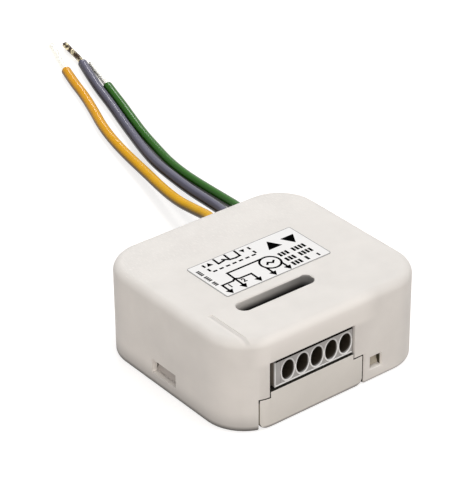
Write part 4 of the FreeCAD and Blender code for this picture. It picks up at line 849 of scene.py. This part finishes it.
class RECEIVER_OT_terminals(bpy.types.Operator):
    """Finish the wire terminals"""
    bl_idname = "receiver.terminals"
    bl_label = "Terminals"

    def execute(self, context):
        look = context.scene.receiver_terminals
        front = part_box("pole_housing_1")[0][1]
        axis_z = next(mount for mount in frame["record"]["mounts"]
                      if mount["name"] == "wire_entry_1")["pos_m"][2]
        satin = {"gloss": 0.38, "relief": 0.2, "mottle": 0.04}
        grey = moulded("terminal_plastic", look.body_colour, look.grain, **satin)
        # Painted shade: the terminal plastic darkens deeper in the wire entries
        toned(grey, look.hole_colour, ("Y", front + 0.00012, front + 0.0005))
        for number in POLES:
            pole = soft_copy(f"pole_housing_{number}", f"pole_{number}", 0.0)
            finished(pole, grey, "terminal_grey", f"pole_housing_{number}")
        plate = soft_copy("terminal_end_plate", "end_plate", look.edge)
        # Painted shade: the end plate darker behind its front face
        side = moulded("end_plate_plastic", look.body_colour, look.grain, **satin)
        toned(side, look.side_colour, ("Y", front + 0.0001, front + 0.0004))
        finished(plate, side, "terminal_grey", "terminal_end_plate")

        # Painted highlight: pale rims and strips on the grey terminal row, with painted shade
        # towards the top of the rims
        pale = moulded("entry_rim_plastic", look.rim_colour, look.grain, gloss=0.35, relief=0.1)
        toned(pale, shade(look.rim_colour, 0.74), ("Z", axis_z - 0.0004, axis_z + 0.0018))
        left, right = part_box("terminal_end_plate")[0][0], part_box("pole_housing_5")[1][0]
        low, top = axis_z - look.face_below, axis_z + look.face_above
        # Painted highlight: pale strips along the lit lower and left edges of the terminal faces
        highlight_lips = joined([strip((left, front, low), (right, front, low + look.lip), look.edge),
                       strip((left, front, low + look.lip / 2), (left + look.lip, front, top),
                             look.edge)], "terminal_lips")
        finished(highlight_lips, pale, "terminal_grey")
        # Painted shadow: a dark strip across the top of the terminal faces, below the cover's edge
        groove = strip((left, front, top - look.groove), (right, front, top), look.edge,
                       "terminal_groove")
        finished(groove, moulded("groove_shade", look.groove_colour, grain=0.0002, gloss=0.8,
                                 relief=0.1, shine=0.02), "terminal_grey")
        for rim in entry_rims(look, front, axis_z - look.entry_drop):
            finished(rim, pale, "terminal_grey")
        inner = {"release_button": moulded("button_plastic", look.button_colour, look.grain,
                                           gloss=0.42),
                 "clamp_spring": metal("spring_strip", (0.66, 0.65, 0.62), gloss=0.28,
                                       grain=0.0005, stretch=(1, 1, 6)),
                 "current_bar": metal("contact_bar", (0.80, 0.76, 0.68), gloss=0.26,
                                      grain=0.0004, stretch=(1, 5, 1))}
        for node, material in inner.items():
            paint(material, *[f"{node}_{number}" for number in POLES])
        return {"FINISHED"}


# Parts inside the housing: material, colours and finish in the order that laminate, moulded
# and metal take them, and the CAD nodes
BOARDS = (
    ("board_mask", (0.03, 0.16, 0.07), (0.10, 0.30, 0.12), "circuit_board"),
    ("radio_mask", (0.02, 0.13, 0.09), (0.08, 0.26, 0.14), "radio_board"),
)
PLASTICS = (
    ("relay_plastic", (0.045, 0.085, 0.16), 0.0002, 0.34, 0.25, "relay_1", "relay_2"),
    ("film_plastic", (0.72, 0.62, 0.17), 0.0002, 0.36, 0.25, "film_capacitor"),
    ("can_sleeve", (0.05, 0.06, 0.085), 0.0003, 0.30, 0.25, "smoothing_capacitor"),
    ("varistor_lacquer", (0.07, 0.18, 0.46), 0.0004, 0.30, 0.5, "surge_varistor"),
    ("resistor_lacquer", (0.30, 0.45, 0.38), 0.0003, 0.36, 0.4, "fuse_resistor"),
    ("choke_sleeve", (0.05, 0.048, 0.045), 0.0003, 0.5, 0.4, "noise_choke"),
    ("chip_compound", (0.02, 0.02, 0.021), 0.00012, 0.55, 0.3, "microcontroller",
     "bridge_rectifier"),
    ("chip_ceramic", (0.42, 0.30, 0.19), 0.00015, 0.45, 0.25, "chip_parts"),
    ("aerial_sleeve", (0.04, 0.04, 0.04), 0.0002, 0.38, 0.25, "aerial_wire"),
)
METALS = (
    ("solder_tin", (0.74, 0.74, 0.72), 0.22, 0.0005, None, "solder_joints"),
    ("shield_tin_plate", (0.70, 0.70, 0.68), 0.30, 0.0006, (6, 1, 1), "radio_shield"),
    ("crystal_case", (0.72, 0.72, 0.71), 0.25, 0.0005, (4, 1, 1), "quartz_crystal"),
    ("screw_zinc", (0.66, 0.66, 0.64), 0.30, 0.0003, None, "clamp_screws"),
)


class RECEIVER_OT_electronics(bpy.types.Operator):
    """Finish the circuit board and the parts on it"""
    bl_idname = "receiver.electronics"
    bl_label = "Electronics"

    def execute(self, context):
        for name, mask, tracks, node in BOARDS:
            paint(laminate(name, mask, tracks), node)
        for name, value, grain, gloss, relief, *nodes in PLASTICS:
            paint(moulded(name, value, grain, gloss, relief), *nodes)
        for name, value, gloss, grain, stretch, node in METALS:
            paint(metal(name, value, gloss, grain, stretch), node)
        return {"FINISHED"}


def stroke(start, end, width):
    """A straight printed line between two points on the label plane."""
    a, b = Vector(start), Vector(end)
    run = b - a
    bpy.ops.mesh.primitive_plane_add(size=1.0, location=(*((a + b) / 2), 0.0),
                                     rotation=(0, 0, math.atan2(run.y, run.x)))
    piece = bpy.context.object
    piece.scale = (run.length + width, width, 1.0)
    return piece


def arrow(middle, size, turn=0.0):
    """A printed triangle whose point looks down, or is turned."""
    bpy.ops.mesh.primitive_circle_add(vertices=3, radius=size, fill_type="NGON",
                                      location=(*middle, 0.0), rotation=(0, 0, math.pi + turn))
    return bpy.context.object


def ring(centre, radius, width):
    """A printed circle."""
    bpy.ops.mesh.primitive_circle_add(vertices=72, radius=radius + width / 2,
                                      location=(*centre, 0.0))
    piece = bpy.context.object
    edit(piece)
    factor = (radius - width / 2) / (radius + width / 2)
    bpy.ops.mesh.extrude_edges_move()
    bpy.ops.transform.resize(value=(factor, factor, 1.0))
    bpy.ops.object.mode_set(mode="OBJECT")
    return piece


def digit(text, place, size):
    """A printed terminal number."""
    bpy.ops.object.text_add(location=(*place, 0.0))
    piece = bpy.context.object
    piece.data.body = text
    piece.data.size = size
    piece.data.offset = size * 0.035
    piece.data.align_x = "CENTER"
    piece.data.align_y = "CENTER"
    bpy.ops.object.convert(target="MESH")
    return bpy.context.object


def dashes(start, end, width):
    """A dashed line between two points, its dashes a third of their pitch long."""
    a, b = Vector(start), Vector(end)
    count = max(2, round((b - a).length / DASH_PITCH))
    step = (b - a) / count
    return [stroke(a + step * (index + 0.3), a + step * (index + 0.62), width)
            for index in range(count)]


def blocks(start, end, across, height, upright=False):
    """A row of short printed blocks with gaps, side by side or one above the other."""
    step = height * 0.62
    width = step * 0.68
    marks = []
    for index in range(int((end - start + 0.01) / step)):
        if index % 5 != 3:
            spot, size = (start + step * index + width / 2, across), (width, height)
            if upright:
                spot, size = spot[::-1], size[::-1]
            bpy.ops.mesh.primitive_plane_add(size=1.0, location=(*spot, 0.0))
            bpy.context.object.scale = (*size, 1.0)
            marks.append(bpy.context.object)
    return marks


# Diagram on the label, in millimetres from the housing's middle
DIAGRAM = [
    [(0.0, 0.72), (-8.04, 0.72), (-8.2, -4.6)],
    [(-8.15, -1.7), (-8.9, -2.2), (-11.5, -2.2), (-11.55, -4.6)],
    [(-8.15, -1.7), (-7.3, -2.2), (-4.5, -2.25), (-4.55, -4.5)],
    [(-0.95, -2.55), (-1.0, -4.6)],
    [(2.62, -2.7), (2.6, -4.6)],
    [(-7.0, 6.3), (-7.1, 4.5), (-5.6, 4.8)],
    [(-4.3, 6.3), (-4.45, 4.4), (-3.2, 4.2), (-2.0, 4.35), (-1.85, 6.3)],
    [(-5.6, 5.3), (-4.45, 4.4)],
    [(0.0, -1.6), (0.5, -1.1), (1.3, -1.7), (1.85, -1.2)],
]
DASH_PATH = [(-9.98, 6.3), (-9.98, 2.83), (1.05, 2.83), (1.05, 6.3)]
DASH_PITCH = 1.55
ARROWS = [(-11.5, -4.75), (-8.2, -4.75), (-4.55, -4.7), (-1.0, -4.8), (2.6, -4.85)]
ARROW_SIZE, DIGIT_SIZE = 0.95, 1.7
# Triangles: middle, radius and turn
TRIANGLES = [((-8.75, 5.3), 0.8, math.pi), ((-0.55, 5.5), 0.7, 0.0),
             ((5.3, 3.3), 1.9, math.pi), ((9.6, 3.3), 1.9, 0.0)]
CIRCLE, CIRCLE_RADIUS = (0.95, -1.35), 2.15
# Rows of blocks: start, end, place across the row, height of a block
ROWS = [(3.9, 11.9, -0.35, 1.35), (3.9, 11.4, -2.5, 1.35), (3.9, 8.9, -4.5, 1.35),
        (9.9, 10.8, -4.8, 1.0)]
UPRIGHT_ROW = (-1.5, 5.2, -12.1, 0.8)


def diagram(line):
    """All marks of the diagram, still in millimetres and flat on the plane of the origin."""
    marks = []
    for path in DIAGRAM:
        marks += [stroke(a, b, line) for a, b in zip(path, path[1:])]
    for a, b in zip(DASH_PATH, DASH_PATH[1:]):
        marks += dashes(a, b, line)
    marks += [arrow(tip, ARROW_SIZE) for tip in ARROWS]
    marks += [arrow(*triangle) for triangle in TRIANGLES]
    marks.append(ring(CIRCLE, CIRCLE_RADIUS, line))
    marks += [digit(str(number), (x + 1.15, y + 1.45), DIGIT_SIZE)
              for number, (x, y) in zip(POLES, ARROWS[:2])]
    for row in ROWS:
        marks += blocks(*row)
    return marks + blocks(*UPRIGHT_ROW, upright=True)


class RECEIVER_OT_label(bpy.types.Operator):
    """Print the wiring diagram on the label"""
    bl_idname = "receiver.label"
    bl_label = "Label"

    def execute(self, context):
        look = context.scene.receiver_label
        paint(moulded("label_foil", look.foil_colour, grain=0.0003, gloss=0.58, relief=0.05,
                      mottle=0.006, shine=0.15), "type_label")
        low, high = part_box("type_label")
        deselect()
        marks = diagram(look.line / MM)
        for mark in marks:
            settle(mark)
        # The print goes down into the foil by half its thickness
        print_piece = joined(marks, "label_print")
        print_piece.scale = (MM, MM, 1.0)
        print_piece.location = (0.0, 0.0, high[2] - look.ink_thick / 2)
        settle(print_piece)
        edit(print_piece)
        bpy.ops.mesh.extrude_region_move(
            TRANSFORM_OT_translate={"value": (0, 0, look.ink_thick * 1.5)})
        bpy.ops.mesh.select_all(action="SELECT")
        bpy.ops.mesh.normals_make_consistent(inside=False)
        bpy.ops.object.mode_set(mode="OBJECT")
        ink = moulded("label_ink", look.ink_colour, grain=0.0002, gloss=0.6, relief=0.05,
                      mottle=0.1, shine=0.0)
        finished(print_piece, ink, "label_foil")

        # Painted shadow: a thin grey ring round the label's edge
        deselect()
        middle = (Vector(low) + Vector(high)) / 2
        bpy.ops.mesh.primitive_plane_add(size=1.0, location=middle)
        edge = named("label_edge")
        edge.scale = (high[0] - low[0] + look.edge_reach, high[1] - low[1] + look.edge_reach,
                      1.0)
        settle(edge)
        edit(edge)
        bpy.ops.mesh.bevel(offset=look.corner, segments=6, affect="VERTICES")
        bpy.ops.mesh.inset(thickness=look.edge_line)
        bpy.ops.mesh.delete(type="FACE")
        bpy.ops.object.mode_set(mode="OBJECT")
        applied(edge, "SOLIDIFY", "thick", thickness=high[2] - low[2] + look.ink_thick,
                offset=0.0)
        grey = moulded("label_edge_grey", look.edge_colour, grain=0.0002, gloss=0.45, relief=0.05)
        finished(edge, grey, "label_foil")
        return {"FINISHED"}


def seen_directly(tree):
    """1 for what the camera, a mirror or a glass sees, and 0 for lighting."""
    path = tree.nodes.new("ShaderNodeLightPath")
    total = path.outputs["Is Camera Ray"]
    for kind in ("Is Glossy Ray", "Is Transmission Ray"):
        most = tree.nodes.new("ShaderNodeMath")
        most.operation = "MAXIMUM"
        tree.links.new(total, most.inputs[0])
        tree.links.new(path.outputs[kind], most.inputs[1])
        total = most.outputs["Value"]
    return total


class RECEIVER_OT_stage(bpy.types.Operator):
    """Set up the floor, the world and the light"""
    bl_idname = "receiver.stage"
    bl_label = "Stage"

    def execute(self, context):
        look = context.scene.receiver_stage
        deselect()
        bpy.ops.mesh.primitive_plane_add(size=look.floor_size, location=(0, 0, 0))
        floor = named("floor")
        material, tree, shader, place = new_material("floor_white")
        tree.links.new(ramp(tree, noise(tree, place, 0.4), (0.0, shade(look.floor_colour, 0.99)),
                            (1.0, look.floor_colour)), shader.inputs["Base Color"])
        shader.inputs["Roughness"].default_value = 0.9
        shader.inputs["Specular IOR Level"].default_value = 0.0
        glow = tree.nodes.new("ShaderNodeEmission")
        scale = tree.nodes.new("ShaderNodeMath")
        scale.operation = "MULTIPLY"
        scale.inputs[1].default_value = look.floor_seen - look.floor_colour[0]
        tree.links.new(seen_directly(tree), scale.inputs[0])
        tree.links.new(scale.outputs["Value"], glow.inputs["Strength"])
        add = tree.nodes.new("ShaderNodeAddShader")
        tree.links.new(shader.outputs["BSDF"], add.inputs[0])
        tree.links.new(glow.outputs["Emission"], add.inputs[1])
        tree.links.new(add.outputs["Shader"], tree.nodes["Material Output"].inputs["Surface"])
        floor.data.materials.append(material)

        world = bpy.data.worlds.new("studio")
        context.scene.world = world
        world.use_nodes = True
        tree = world.node_tree
        background = tree.nodes["Background"]
        background.inputs["Color"].default_value = (1.0, 1.0, 1.0, 1.0)
        level = tree.nodes.new("ShaderNodeMapRange")
        level.inputs["To Min"].default_value = look.world_strength
        level.inputs["To Max"].default_value = 1.0
        tree.links.new(seen_directly(tree), level.inputs["Value"])
        tree.links.new(level.outputs["Result"], background.inputs["Strength"])

        # Each lamp: strength, tint, width of its disc in degrees, and where it shines from
        white = (1.0, 1.0, 1.0)
        for name, strength, tint, angle, source in (
                ("key_light", look.key_strength, white, 20, (0.23, -0.16, 0.96)),
                ("fill_light", look.fill_strength, look.fill_colour, 60, (-0.58, -0.71, 0.396)),
                ("back_light", look.back_strength, white, 12, (0.45, 0.70, 0.50))):
            turn = Vector(source).to_track_quat("Z", "Y").to_euler()
            bpy.ops.object.light_add(type="SUN", rotation=turn)
            lamp = named(name)
            lamp.data.energy = strength
            lamp.data.color = tint
            lamp.data.angle = math.radians(angle)

        context.scene.view_settings.view_transform = "Standard"
        return {"FINISHED"}


class RECEIVER_PT_panel(bpy.types.Panel):
    """Lists the steps that build the module"""
    bl_label = "Radio receiver module"
    bl_idname = "RECEIVER_PT_panel"
    bl_space_type = "VIEW_3D"
    bl_region_type = "UI"
    bl_category = "Receiver"

    def draw(self, context):
        for step in STEPS:
            self.layout.operator(step.bl_idname)
        for name in LOOKS:
            box = self.layout.box()
            settings = getattr(context.scene, name)
            for key in settings.__annotations__:
                box.prop(settings, key)


STEPS = (RECEIVER_OT_camera, RECEIVER_OT_leads, RECEIVER_OT_housing, RECEIVER_OT_terminals,
         RECEIVER_OT_label, RECEIVER_OT_electronics, RECEIVER_OT_stage)
LOOKS = {"receiver_housing": HousingLook, "receiver_terminals": TerminalLook,
         "receiver_label": LabelLook, "receiver_leads": LeadLook, "receiver_stage": StageLook}


def register():
    """Registers the settings, the steps and the panel."""
    for name, look in LOOKS.items():
        bpy.utils.register_class(look)
        setattr(bpy.types.Scene, name, PointerProperty(type=look))
    for step in STEPS:
        bpy.utils.register_class(step)
    bpy.utils.register_class(RECEIVER_PT_panel)


def unregister():
    """Removes what register added."""
    bpy.utils.unregister_class(RECEIVER_PT_panel)
    for step in reversed(STEPS):
        bpy.utils.unregister_class(step)
    for name, look in LOOKS.items():
        delattr(bpy.types.Scene, name)
        bpy.utils.unregister_class(look)


def main():
    """Builds the whole module and its stage."""
    register()
    bpy.ops.receiver.camera()
    bpy.ops.receiver.leads()
    bpy.ops.receiver.housing()
    bpy.ops.receiver.terminals()
    bpy.ops.receiver.label()
    bpy.ops.receiver.electronics()
    bpy.ops.receiver.stage()


if __name__ == "__main__":
    main()
